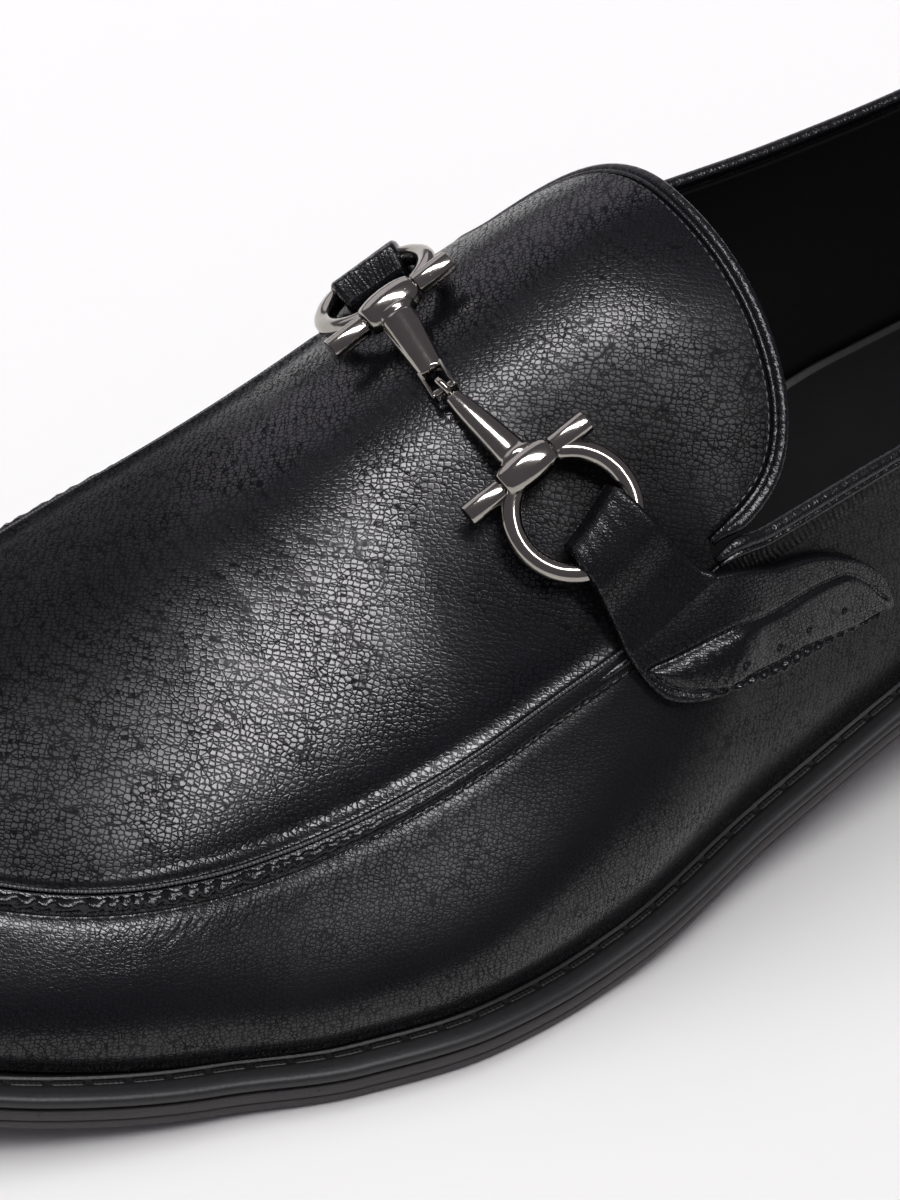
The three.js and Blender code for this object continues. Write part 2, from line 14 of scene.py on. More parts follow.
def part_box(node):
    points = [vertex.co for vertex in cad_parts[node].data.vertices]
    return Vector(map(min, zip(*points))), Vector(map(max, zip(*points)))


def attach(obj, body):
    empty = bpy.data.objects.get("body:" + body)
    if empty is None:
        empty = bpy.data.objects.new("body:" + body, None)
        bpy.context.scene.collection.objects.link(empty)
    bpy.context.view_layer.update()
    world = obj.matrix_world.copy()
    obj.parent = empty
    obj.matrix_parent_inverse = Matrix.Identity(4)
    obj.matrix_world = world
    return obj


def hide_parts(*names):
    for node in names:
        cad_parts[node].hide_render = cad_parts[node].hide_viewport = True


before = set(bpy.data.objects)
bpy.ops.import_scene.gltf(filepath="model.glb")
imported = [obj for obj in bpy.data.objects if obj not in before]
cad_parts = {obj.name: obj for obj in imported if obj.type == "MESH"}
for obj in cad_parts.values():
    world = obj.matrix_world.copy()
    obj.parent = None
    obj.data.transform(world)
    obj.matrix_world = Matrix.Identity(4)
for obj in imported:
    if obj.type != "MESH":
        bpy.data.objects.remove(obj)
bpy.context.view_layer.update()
MM = 0.001

# %% [markdown]
# A last is the form that a shoe is built on. Here it is a few short tables: each row is a place
# along the shoe, and the columns are shares of the sizes named below. A smooth curve through the
# rows then gives every width and height between them. Modelling on such a form keeps the finished
# leather exactly where the plain pieces of the frame are.

# %% Sizes and tables of the last
LENGTH = (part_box("outsole")[1][0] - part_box("outsole")[0][0]) / MM
BALL_WIDTH = 106.0
INSTEP_HEIGHT = 93.0
COLLAR_HEIGHT = 88.0
HEEL_HEIGHT = 20.0
TOE_SPRING = 12.0
HEEL_LENGTH = 78.0
OUTSOLE = 3.7
WELT = 2.2
WELT_WIDTH = 9.0
WELT_SHOWING = 5.0
INSOLE = 3.0
WALL = 2.0
PIPING = 2.9
GAP = 0.3
TONGUE_LENGTH = 19.0
STRAP = 1.7
RING = 20.0
RING_WIRE = 3.1
CHEEK_BAR = 22.0
BIT_SPAN = 36.0
BIT_LIFT = 3.5


def table(names, rows):
    return {name: np.array([row[i] for row in rows], float) for i, name in enumerate(names.split())}


PLAN = table("at inner outer", [
    (0, 0.3, 0.3), (0.06, 0.315, 0.32), (0.15, 0.32, 0.335), (0.25, 0.3, 0.355),
    (0.37, 0.27, 0.405), (0.47, 0.28, 0.455), (0.57, 0.335, 0.523), (0.66, 0.41, 0.547),
    (0.73, 0.435, 0.52), (0.8, 0.435, 0.465), (0.88, 0.41, 0.425), (0.94, 0.39, 0.41),
    (1, 0.37, 0.38),
])
RISE = table("at heel toe", [
    (0, 1, 0), (0.1, 0.98, 0), (0.25, 0.92, 0), (0.35, 0.68, 0), (0.45, 0.36, 0),
    (0.55, 0.1, 0), (0.62, 0, 0), (0.73, 0, 0), (0.8, 0, 0.1), (0.88, 0, 0.34),
    (0.94, 0, 0.64), (1, 0, 1),
])
TOP = table("at ridge outer inner", [
    (0.38, 1.021, 0.15, 0.237), (0.48, 0.909, 0.134, 0.28), (0.56, 0.781, 0.167, 0.263),
    (0.64, 0.648, 0.167, 0.204), (0.72, 0.566, 0.16, 0.183), (0.8, 0.501, 0.146, 0.165),
    (0.86, 0.446, 0.14, 0.151), (0.92, 0.366, 0.129, 0.14), (1, 0.237, 0.129, 0.129),
])
EDGE = table("at inner outer height", [
    (0.03, 0.236, 0.236, 1), (0.1, 0.269, 0.269, 0.943), (0.2, 0.278, 0.292, 0.841),
    (0.3, 0.294, 0.311, 0.79), (0.4, 0.323, 0.336, 0.75), (0.5, 0.349, 0.351, 0.693),
    (0.6, 0.338, 0.336, 0.6), (0.7, 0.333, 0.323, 0.5), (0.8, 0.294, 0.297, 0.45),
    (0.88, 0.266, 0.279, 0.4), (1, 0.245, 0.264, 0.35),
])
SWELL = table("at inner outer lean", [
    (0, 0.038, 0.038, 80), (0.12, 0.033, 0.033, 80), (0.3, 0.024, 0.024, 80),
    (0.45, 0.028, 0.038, 76), (0.54, 0.038, 0.052, 64), (0.62, 0.047, 0.057, 52),
    (0.72, 0.047, 0.057, 45), (0.84, 0.038, 0.038, 40), (1, 0.028, 0.028, 34),
])
LINES = {  # ends and end rounding along the length, and inset from the sole's outline
    "sole": (0, LENGTH, 0, 0.113 * LENGTH, 0.207 * LENGTH),
    "feather": (0.6 * WELT_SHOWING, LENGTH - 1.3 * WELT_SHOWING, WELT_SHOWING,
                0.103 * LENGTH, 0.193 * LENGTH),
    "top": (0.03 * LENGTH, 0.907 * LENGTH, 0, 0.1 * LENGTH, 0.153 * LENGTH),
}
HEEL_POWER, TOE_POWER, CROWN, DROP_AT = 2.3, 2.15, 2.1, 0.33
RIDGE = -0.071 * BALL_WIDTH
JOIN = 0.507 * LENGTH
BOTTOM = OUTSOLE + GAP + WELT
print("length of the last's outline", round(LENGTH, 2), "mm")

# %% [markdown]
# The tables are read by a curve that never overshoots its rows, so that flat stretches stay flat.
# The functions work on whole arrays of places at once, which lets a fine surface be laid in a
# moment. Places are in millimetres from the back of the heel, as a shoemaker would measure them.

# %% Functions of the last
def mix(a, b, share):
    return a + (b - a) * share


def fade(start, end, value):
    x = np.clip((value - start) / (end - start), 0, 1)
    return x * x * (3 - 2 * x)


def read(columns, name, at):
    knots, values = columns["at"], columns[name]
    slope = np.diff(values) / np.diff(knots)
    before, after = slope[:-1], slope[1:]
    total = np.where(before * after > 0, before + after, 1)
    tangent = np.concatenate([slope[:1], np.where(before * after > 0, 2 * before * after / total, 0),
                              slope[-1:]])
    i = np.clip(np.searchsorted(knots, at, side="right") - 1, 0, len(knots) - 2)
    width = knots[i + 1] - knots[i]
    x = np.clip((at - knots[i]) / width, 0, 1)
    return ((1 + 2 * x) * (1 - x) ** 2 * values[i] + x * (1 - x) ** 2 * width * tangent[i]
            + x * x * (3 - 2 * x) * values[i + 1] - x * x * (1 - x) * width * tangent[i + 1])


def by_side(columns, side, at):
    return np.where(side > 0, read(columns, "outer", at), read(columns, "inner", at))


def rise(s):
    return read(RISE, "heel", s / LENGTH) * HEEL_HEIGHT + read(RISE, "toe", s / LENGTH) * TOE_SPRING


def top_height(s, y):
    drop = np.where(y > RIDGE, read(TOP, "outer", s / LENGTH), read(TOP, "inner", s / LENGTH))
    off = np.abs(y - RIDGE) / (DROP_AT * BALL_WIDTH)
    return INSTEP_HEIGHT * (read(TOP, "ridge", s / LENGTH) - drop * off ** CROWN)


def plan(name, share, side):
    heel, toe, inset, heel_round, toe_round = LINES[name]
    s = mix(heel, toe, share)
    half = by_side(EDGE if name == "top" else PLAN, side, s / LENGTH) * BALL_WIDTH - inset
    ahead = np.clip((s - (toe - toe_round)) / toe_round, 0, 1)
    behind = np.clip((heel + heel_round - s) / heel_round, 0, 1)
    rounding = ((1 - ahead ** TOE_POWER) ** (1 / TOE_POWER)
                * (1 - behind ** HEEL_POWER) ** (1 / HEEL_POWER))
    return s, side * half * rounding


def outward(name, share, side):
    angle, step = np.arccos(np.clip(1 - 2 * share, -1, 1)), 0.01

    def at(turn):
        s, y = plan(name, (1 - np.cos(turn)) / 2, side)
        return s, np.where((turn < 0) | (turn > np.pi), -y, y)

    (s0, y0), (s1, y1) = at(angle - step), at(angle + step)
    size = np.hypot(s1 - s0, y1 - y0)
    return -side * (y1 - y0) / size, side * (s1 - s0) / size


def places(*parts):
    return np.stack(np.broadcast_arrays(*parts), -1).astype(float)


def top_edge(share, side):
    s, y = plan("top", share, side)
    collar = read(EDGE, "height", s / LENGTH) * COLLAR_HEIGHT - PIPING
    joined = fade(JOIN - 0.033 * LENGTH, JOIN + 0.013 * LENGTH, s)
    return places(s, y, mix(collar, top_height(s, y), joined))


def wall(share, side, up):
    s, y = plan("feather", share, side)
    foot, head = places(s, y, rise(s) + BOTTOM + GAP), top_edge(share, side)
    out = places(*outward("feather", share, side), 0)
    lean = np.radians(read(SWELL, "lean", share))[..., None]
    swell = (by_side(SWELL, side, share) * BALL_WIDTH)[..., None]
    reach = 0.36 * np.linalg.norm(head - foot, axis=-1, keepdims=True)
    above = np.array([0, 0, 1.0])
    low = foot + out * swell + above * 0.4 * (head - foot)[..., 2:]
    high = head + reach * (out * np.cos(lean) - above * np.sin(lean))
    v = up[..., None]
    return (1 - v) ** 3 * foot + 3 * v * (1 - v) ** 2 * low + 3 * v * v * (1 - v) * high + v ** 3 * head


def share_at(s):
    return (s - LINES["top"][0]) / (LINES["top"][1] - LINES["top"][0])


def skin(share, side, down):
    edge = top_edge(share, side)
    y = mix(RIDGE, edge[..., 1], np.minimum(down, 1))
    over = places(edge[..., 0], y, top_height(edge[..., 0], y))
    return np.where((down > 1)[..., None], wall(share, side, np.clip(2 - down, 0, 1)), over)


widest = plan("sole", np.linspace(0.3, 0.9, 601), np.ones(601))[1].max()
SIDE_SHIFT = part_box("outsole")[1][1] / MM - widest
print("middle line lies", round(SIDE_SHIFT, 2), "mm off the frame's")

# %% [markdown]
# The camera stands where the photograph's stood: in front of the toe, on the outer side, looking
# down at about 40 degrees and rolled a little. Its target and distance were fitted to the seam,
# collar and sole lines, so the finished shoe fills the picture as the real one does.

# %% Camera
CAMERA_TURN, CAMERA_RISE, CAMERA_ROLL = 139.1, 40.6, 8.5
CAMERA_DISTANCE = 765.2
CAMERA_TARGET = (22.9, 4.8 + SIDE_SHIFT, 36.0)
FILM_HEIGHT, PICTURE_HEIGHT, FOCAL_PIXELS = 36.0, 1200, 5195.2

turn, lift, roll = (math.radians(a) for a in (CAMERA_TURN, CAMERA_RISE, CAMERA_ROLL))
back = Vector((math.sin(turn) * math.cos(lift), -math.cos(turn) * math.cos(lift), math.sin(lift)))
right = Vector((math.cos(turn), math.sin(turn), 0))
up = back.cross(right)
right, up = right * math.cos(roll) + up * math.sin(roll), up * math.cos(roll) - right * math.sin(roll)
bpy.ops.object.camera_add()
camera = bpy.context.object
camera.matrix_world = Matrix.Translation((Vector(CAMERA_TARGET) + back * CAMERA_DISTANCE) * MM) @ Matrix(
    (right, up, back)).transposed().to_4x4()
camera.data.sensor_fit, camera.data.sensor_height = "VERTICAL", FILM_HEIGHT
camera.data.sensor_width = FILM_HEIGHT
camera.data.lens = FOCAL_PIXELS * FILM_HEIGHT / PICTURE_HEIGHT
camera.data.clip_start = 0.01
bpy.context.scene.camera = camera
print("lens", round(camera.data.lens, 1), "mm")

# %% [markdown]
# Black leather shows the room that it stands in. A long strip lamp hangs overhead, turned a little
# from the shoe's own width, and draws the bright bands on the plug and on the instep. It is a lamp
# for gloss only. A wide soft ceiling lights the floor instead, so that the shoe's shadow is broad
# and soft. The rest of the room stays dark.

# %% Light and floor
def soft_light(name, place, aim, turned_by, size, brightness, colour=(1, 1, 1), gloss=True, floor=True):
    """A soft lamp of a size in metres; brightness is that of its own surface"""
    bpy.ops.object.light_add(type="AREA")
    lamp = bpy.context.object
    lamp.name = name
    way = (Vector(aim) - Vector(place)).to_track_quat("-Z", "Y").to_matrix().to_4x4()
    lamp.matrix_world = Matrix.Translation(Vector(place)) @ way @ Matrix.Rotation(turned_by, 4, "Z")
    lamp.data.shape, lamp.data.size, lamp.data.size_y = "RECTANGLE", size[0], size[1]
    lamp.data.energy, lamp.data.color = brightness * math.pi * size[0] * size[1], colour
    lamp.visible_glossy, lamp.visible_diffuse = gloss, floor


# Two aims lie a hair off the straight-down line, which fixes how each of those lamps is turned.
soft_light("strip", (0.135, 0.24, 1.15), (0.135, 0.2401, 0), math.radians(24), (0.19, 1.48), 21,
           (0.99, 0.97, 1), floor=False)
soft_light("floor_light", (0, -0.25, 2.2), (0, -0.2499, 0), 0, (2.9, 2.9), 2.42, gloss=False)
soft_light("far_sheet", (-0.1, -1.7, 0.9), (0, 0, 0.1), 0, (2.4, 1.3), 0.75, (0.97, 0.93, 1))
world = bpy.data.worlds.new("room")
bpy.context.scene.world = world
world.use_nodes = True
world.node_tree.nodes["Background"].inputs["Color"].default_value = (0.93, 0.86, 1.0, 1)
world.node_tree.nodes["Background"].inputs["Strength"].default_value = 0.16
bpy.context.scene.view_settings.view_transform = "Standard"

FLOOR_SIZE = 12.0
bpy.ops.mesh.primitive_plane_add(size=FLOOR_SIZE)
floor = bpy.context.object
floor.name = "floor"
print("lights and floor are up")

# %% [markdown]
# A material is a small graph of nodes. Writing it as sums is easier to read than wiring it node
# by node, so a socket is wrapped in a class whose + - * / add the Math nodes. Everything that
# isn't a sum of numbers comes from one method, node.

# %% Shader sums
class Wire:
    def __init__(self, tree, socket):
        self.tree, self.socket = tree, socket

    def sum(self, operation, *others):
        node = self.tree.nodes.new("ShaderNodeMath")
        node.operation = operation
        for slot, value in zip(node.inputs, (self, *others)):
            connect(self.tree, slot, value)
        return Wire(self.tree, node.outputs[0])

    def __add__(self, other):
        return self.sum("ADD", other)

    def __sub__(self, other):
        return self.sum("SUBTRACT", other)

    def __mul__(self, other):
        return self.sum("MULTIPLY", other)

    def __truediv__(self, other):
        return self.sum("DIVIDE", other)

    def __pow__(self, other):
        return self.sum("POWER", other)

    def __rsub__(self, other):
        return (self * -1) + other

    __radd__, __rmul__ = __add__, __mul__

    def clamp(self, low=0.0, high=1.0):
        return self.sum("MAXIMUM", low).sum("MINIMUM", high)

    def step(self, start, end):
        """0 below start, 1 above end, smooth between"""
        node = self.tree.nodes.new("ShaderNodeMapRange")
        node.interpolation_type = "SMOOTHSTEP"
        for slot, value in zip(("Value", "From Min", "From Max"), (self, start, end)):
            connect(self.tree, node.inputs[slot], value)
        return Wire(self.tree, node.outputs["Result"])


def connect(tree, slot, value):
    if isinstance(value, Wire):
        tree.links.new(value.socket, slot)
    elif isinstance(value, (tuple, list)) and len(value) == 3 and slot.type == "RGBA":
        slot.default_value = (*value, 1)
    else:
        slot.default_value = value


class Finish:
    """One material, with its Principled shader"""

    def __init__(self, name):
        self.material = bpy.data.materials.new(name)
        self.material.use_nodes = True
        self.tree = self.material.node_tree
        self.shader = self.tree.nodes["Principled BSDF"]

    def node(self, kind, settings=None, inputs=None, output=0):
        node = self.tree.nodes.new("ShaderNode" + kind)
        for key, value in (settings or {}).items():
            setattr(node, key, value)
        for key, value in (inputs or {}).items():
            connect(self.tree, node.inputs[key], value)
        return Wire(self.tree, node.outputs[output])

    def place(self, stretch=(1, 1, 1), turn=0.0):
        """Object coordinates in millimetres; a stretch of 2 doubles what is drawn along that axis"""
        base = self.node("TexCoord", output="Object")
        inputs = {"Vector": base, "Scale": tuple(MM * k for k in stretch), "Rotation": (0, 0, turn)}
        return self.node("Mapping", {"vector_type": "TEXTURE"}, inputs)

    def joined(self, x, y):
        """A place from two numbers"""
        return self.node("CombineXYZ", None, {"X": x, "Y": y})

    def along(self):
        """The piece's own map: how far along it and across it, in millimetres"""
        run, across, _ = self.place_parts(self.node("UVMap", {"uv_map": "metric"}))
        return run * 1000, across * 1000

    def noise(self, place, size, detail=2.0, rough=0.5):
        inputs = {"Vector": place, "Scale": 1 / size, "Detail": detail, "Roughness": rough}
        return self.node("TexNoise", None, inputs)

    def cells(self, place, size, random=1.0):
        inputs = {"Vector": place, "Scale": 1 / size, "Randomness": random}
        return self.node("TexVoronoi", {"feature": "DISTANCE_TO_EDGE"}, inputs)

    def warped(self, place, size, amount):
        """The same place, pushed about by a noise"""
        push = self.node("TexNoise", None, {"Vector": place, "Scale": 1 / size}, "Color")
        centred = self.node("VectorMath", {"operation": "SUBTRACT"}, {0: push, 1: (0.5, 0.5, 0.5)})
        scaled = self.node("VectorMath", {"operation": "SCALE"}, {0: centred, "Scale": amount})
        return self.node("VectorMath", {"operation": "ADD"}, {0: place, 1: scaled})

    def tint(self, dark, light, share):
        return self.node("Mix", {"data_type": "RGBA"}, {0: share, 6: dark, 7: light}, output=2)

    def relief(self, height, depth, under=None):
        """A bump whose height of 1 stands for depth millimetres"""
        inputs = {"Height": height, "Distance": depth * MM, "Strength": 1.0}
        if under is not None:
            inputs["Normal"] = under
        return self.node("Bump", None, inputs)

    def paint_shade(self, share):
        """Painted shade: fades the surface into dead black where share is 1, as down in a crease"""
        shade = self.tree.nodes.new("ShaderNodeBsdfPrincipled")
        for name, value in (("Base Color", (0.0015, 0.0014, 0.0018)), ("Roughness", 0.9),
                            ("Specular IOR Level", 0.05)):
            connect(self.tree, shade.inputs[name], value)
        both = self.tree.nodes.new("ShaderNodeMixShader")
        connect(self.tree, both.inputs[0], share)
        for slot, shader in ((1, self.shader), (2, shade)):
            self.tree.links.new(shader.outputs[0], both.inputs[slot])
        self.tree.links.new(both.outputs[0], self.tree.nodes["Material Output"].inputs["Surface"])

    def place_parts(self, place=None):
        """The x, y and z of a place; those of the object's own metres if none is given"""
        split = self.tree.nodes.new("ShaderNodeSeparateXYZ")
        connect(self.tree, split.inputs[0], place or self.node("TexCoord", output="Object"))
        return [Wire(self.tree, part) for part in split.outputs]

    def wear(self, **sockets):
        for name, value in sockets.items():
            connect(self.tree, self.shader.inputs[name.replace("_", " ")], value)
        return self.material


print("shader sums ready")

# %% [markdown]
# Pebbled leather is a field of small pillows with creases between them. A Voronoi texture gives
# the creases as the distance to a cell's edge. Warping its place first keeps the cells from
# looking like a grid, and a few long lines run through them. A crease is deep and catches no
# light, so its shade is painted in: it fades to dead black, which a bump alone can't do. At the
# toe's inner end and on the tongue's outer half the leather is rougher and also faded towards
# black, a painted shade that keeps those places dark.

# %% Leather finish
BLACK = (0.0042, 0.0038, 0.0056)
GRAIN_TURN = math.radians(139)
GRAIN_STRETCH = (1.25, 1, 1)
PAINTED_SHADE_SHARE, DULL_ROUGH = 0.55, 0.16


def grain(finish, size):
    """Pebbled leather with pillows of a size in mm; gives the creases and the height"""
    place = finish.place(GRAIN_STRETCH, GRAIN_TURN)
    loose = finish.warped(finish.warped(place, 6 * size, 0.8 * size), 1.2 * size, 0.14 * size)
    inward = finish.cells(loose, size, random=0.56)
    patch = finish.noise(place, 12 * size, 3.0).step(0.35, 0.62)
    crease = (1 - inward.step(0.035, 0.135)) * (0.7 + 0.3 * patch)
    long_place = finish.warped(place, 6 * size, 5 * size)
    long_line = 1 - finish.cells(long_place, 4.6 * size).step(0.0, 0.045)
    pillow = inward.step(0.0, 0.26)
    folds = finish.noise(finish.warped(place, 9 * size, 6 * size), 3.2 * size, 2.0, 0.5)
    crease = crease.sum("MAXIMUM", long_line * 0.8)
    return crease, pillow * 0.7 + folds * 0.45 - long_line * 0.4


def leather(name, size=0.72, depth=0.017, rough=0.2, crease_shade=0.96, dull_and_shade=None, extra=None):
    finish = Finish(name)
    crease, height = grain(finish, size)
    broad = finish.noise(finish.place(), 22, 2.0, 0.5)
    normal = finish.relief(height, depth)
    if extra:
        normal = extra(finish, normal)
    # Creases are a little darker in the base colour as well: painted shade.
    shade = finish.tint(BLACK, tuple(0.4 * c for c in BLACK), crease)
    roughness = crease * 0.2 + rough + (broad - 0.5) * 0.1
    # Where the mask is high the leather is rougher and faded towards black: painted shade.
    if dull_and_shade:
        wear_and_painted_shade = dull_and_shade(finish)
        crease = 1 - (1 - crease * 0.96) * (1 - wear_and_painted_shade * PAINTED_SHADE_SHARE)
        roughness = roughness + wear_and_painted_shade * DULL_ROUGH
    # Painted shade: creases, and the masked places, fade towards dead black.
    finish.paint_shade(crease * crease_shade)
    return finish.wear(Base_Color=shade, Roughness=roughness.clamp(0.15, 0.9), Normal=normal,
                       Specular_IOR_Level=0.5)


def shade_and_dull_ends(finish):
    """Painted shade with rougher leather at the inner end of the toe and on the tongue's outer half"""
    x, y, _ = finish.place_parts(finish.place())
    toe = (x - y).step(58, 92)
    tongue = (y + x * 0.3).step(-3, 9) * (1 - x.step(14, 26)) * 0.9
    cloud = finish.noise(finish.place(), 9, 2.0) * 0.4 + 1.05
    return toe.sum("MAXIMUM", tongue) * cloud


PLUG_LEATHER = leather("plug_leather", dull_and_shade=shade_and_dull_ends)
print("leather:", PLUG_LEATHER.name)

# %% [markdown]
# Nearly every piece of this shoe is a sheet that is laid on the last. It starts as a flat grid,
# as a hide does, and each corner of the grid is then moved to its place on the form. The grid
# also gets a map in real millimetres, so that stitches and creases can follow the sheet.

# %% Laying a sheet
def to_frame(mm):
    return (np.asarray(mm) + (-LENGTH / 2, SIDE_SHIFT, 0)) * MM


def select_only(piece):
    bpy.ops.object.select_all(action="DESELECT")
    piece.select_set(True)
    bpy.context.view_layer.objects.active = piece


def lay(name, grid, metric=None):
    """A mesh over a grid of places (columns, rows, 3) in mm, its doubled corners merged"""
    columns, rows = grid.shape[0] - 1, grid.shape[1] - 1
    bpy.ops.object.select_all(action="DESELECT")
    bpy.ops.mesh.primitive_grid_add(x_subdivisions=columns, y_subdivisions=rows, size=1)
    piece = bpy.context.object
    piece.name = piece.data.name = name
    mesh = piece.data
    flat = np.empty(len(mesh.vertices) * 3)
    mesh.vertices.foreach_get("co", flat)
    flat = flat.reshape(-1, 3) + 0.5
    i, j = np.rint(flat[:, 0] * columns).astype(int), np.rint(flat[:, 1] * rows).astype(int)
    mesh.vertices.foreach_set("co", to_frame(grid[i, j]).astype(np.float32).ravel())
    if metric is not None:
        corners = np.empty(len(mesh.loops), np.int32)
        mesh.loops.foreach_get("vertex_index", corners)
        layer = mesh.uv_layers[0]
        layer.name = "metric"
        layer.data.foreach_set("uv", (metric[i[corners], j[corners]] * MM).astype(np.float32).ravel())
    select_only(piece)
    bpy.ops.object.mode_set(mode="EDIT")
    bpy.ops.mesh.select_all(action="SELECT")
    bpy.ops.mesh.remove_doubles(threshold=1e-6)
    bpy.ops.mesh.normals_make_consistent(inside=False)
    bpy.ops.object.mode_set(mode="OBJECT")
    bpy.ops.object.shade_smooth()
    return piece


def normals_of(grid, ring):
    """Unit normals of a grid of places; ring says that its columns close on themselves"""
    wide = np.concatenate([grid[-2:-1], grid, grid[1:2]]) if ring else grid
    along = np.gradient(wide, axis=0)
    along = along[1:-1] if ring else along
    across = np.gradient(grid, axis=1)
    normal = np.cross(along, across)
    return normal / np.maximum(np.linalg.norm(normal, axis=-1, keepdims=True), 1e-9)


def join(name, pieces):
    bpy.ops.object.select_all(action="DESELECT")
    for piece in pieces:
        piece.select_set(True)
    bpy.context.view_layer.objects.active = pieces[0]
    bpy.ops.object.join()
    pieces[0].name = pieces[0].data.name = name
    return pieces[0]


def finish_piece(piece, material, slot, *nodes):
    piece.data.materials.clear()
    piece.data.materials.append(material)
    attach(piece, "root")
    if nodes:
        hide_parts(*nodes)
    tris = sum(len(face.vertices) - 2 for face in piece.data.polygons)
    print(f"{piece.name}: {tris} triangles")
    return piece


def even_shares(line, start, end, count, side):
    """Shares of a line at even steps of its real length"""
    fine = (1 - np.cos(np.linspace(math.acos(1 - 2 * start), math.acos(1 - 2 * end), 1500))) / 2
    track = line(fine, np.full(fine.shape, float(side)))
    run = np.concatenate([[0], np.cumsum(np.linalg.norm(np.diff(track, axis=0), axis=1))])
    shares = np.interp(np.linspace(0, run[-1], count + 1), run, fine)
    return shares, np.linspace(0, run[-1], count + 1)


print("ready to lay sheets")

# %% [markdown]
# The side of the upper is one strip of leather round the whole shoe. Towards the plug its edge is
# turned up into the raised seam, with a dark channel below it. Rows of the grid lie close together
# there and wide apart further down. The back of the leather is a smooth copy of the form, so that
# the strip is a closed piece with real thickness. The crumpled band comes later, as its own piece.

# %% Side of the upper
LEATHER_THICK = 1.2
SEAM_ROWS = np.array([0, 0.1, 0.22, 0.4, 0.6, 0.85, 1.1, 1.35, 1.6, 1.85, 2.1, 2.35, 2.6, 2.8, 3, 3.2,
                      3.4, 3.6, 3.85, 4.15, 4.5, 5, 5.6, 6.3, 7.2, 8.3, 9.6, 11])
SEAM_LIFT = table("at lift", [(0, -0.32), (0.12, 0.0), (0.3, 0.2), (0.8, 0.3), (1.6, 0.32), (2.4, 0.28),
                              (2.8, 0.1), (3.15, -0.2), (3.5, -0.26), (4.2, -0.1), (5.4, 0.02), (11, 0)])


def seam_strength(s):
    return fade(JOIN + 13, JOIN + 20, s)


def slow_waves(s, y, z, size):
    """The gentle unevenness of leather pulled over a last, within about a unit"""
    return (np.sin(s / size + 0.7 * np.sin(y / size)) + np.sin(y / (0.8 * size) + 1.3 + z / size)
            + np.sin((s + y) / (1.3 * size) + 2.1)) / 3


def side_grid(per_side, low_rows, seam_rows):
    """Places of the side strip, its metric map, and its normals"""
    outer, run_outer = even_shares(top_edge, 0, 1, per_side, 1)
    inner, run_inner = even_shares(top_edge, 0, 1, per_side, -1)
    share = np.concatenate([outer, inner[::-1][1:]])[:, None]
    side = np.concatenate([np.ones(len(outer)), -np.ones(len(inner) - 1)])[:, None]
    back = run_outer[-1] + run_inner[-1] - run_inner[::-1][1:]
    run = np.concatenate([run_outer, back])[:, None]
    chord = np.linalg.norm(top_edge(share, side) - wall(share, side, np.zeros_like(share)), axis=-1)
    band = 1 - seam_rows[None, :] / (1.08 * chord)
    low = band[:, -1:] * np.linspace(1, 0, low_rows + 1)[None, 1:]
    upto = np.concatenate([band, low], 1)[:, ::-1]
    down = (1 - upto) * 1.08 * chord
    share, side, run = (np.broadcast_to(a, upto.shape) for a in (share, side, run))
    base = wall(share, side, upto)
    normal = -normals_of(base, True)
    return base, normal, np.stack([run, down], -1), share, side


base, normal, metric, share, side = side_grid(330, 34, SEAM_ROWS)
down = metric[..., 1]
relief = seam_strength(base[..., 0]) * read(SEAM_LIFT, "lift", down)
relief += 0.08 * slow_waves(base[..., 0], base[..., 1], base[..., 2], 9.0) * fade(0, 12, down)
outer_face = base + normal * relief[..., None]
inner_face = base - normal * LEATHER_THICK
turned_in = inner_face[:, ::-1][:, ::3]
section = np.concatenate([outer_face, turned_in, outer_face[:, :1]], 1)
section_metric = np.concatenate([metric, metric[:, ::-1][:, ::3], metric[:, :1]], 1)
side_piece = lay("upper_side", section, section_metric)

# %% [markdown]
# The leather of the side has a finer grain than the plug's. Close under the collar it is gathered
# into short creases by the row of stitches there, and at the toe it puckers below the seam. The
# map in millimetres tells the material how far below the edge it is. These are shallow marks in
# the surface, so a bump draws them.

# %% Side leather
COLLAR_CREASE = 0.95


def side_details(finish, normal):
    """Gathers under the collar, puckers and a row of stitches under the seam"""
    run, below = finish.along()
    place = finish.place()
    bent = run + finish.noise(place, 6, 1.0) * 1.6 + below * 0.35
    wave = (bent * (2 * math.pi / COLLAR_CREASE)).sum("SINE") * 0.5 + 0.5
    x, _, _ = finish.place_parts()
    ahead = x.step((JOIN - LENGTH / 2 - 6) * MM, (JOIN - LENGTH / 2) * MM)
    mask = below.step(0.2, 0.6) * (1 - below.step(2.2, 3.4)) * (1 - ahead)
    gathered = finish.relief(wave * mask, 0.3, normal)
    toe = x.step(0.1 * LENGTH * MM, 0.32 * LENGTH * MM)
    folds = finish.warped(finish.joined(run / 1.7 - below / 5, below / 4.2), 1.6, 1.3)
    pucker = finish.noise(folds, 1.0, 2.0, 0.5)
    near_seam = below.step(3.2, 3.9) * (1 - below.step(4.2, 11.0))
    puckered = finish.relief(pucker * near_seam * (ahead * 0.3 + toe * 0.7), 0.2, gathered)
    dash = ((run / 1.7).sum("FRACT") - 0.5).sum("ABSOLUTE")
    row = 1 - ((below - 3.35).sum("ABSOLUTE")).step(0.1, 0.32)
    return finish.relief(row * (1 - dash.step(0.3, 0.42)) * ahead * (1 - toe), 0.16, puckered)


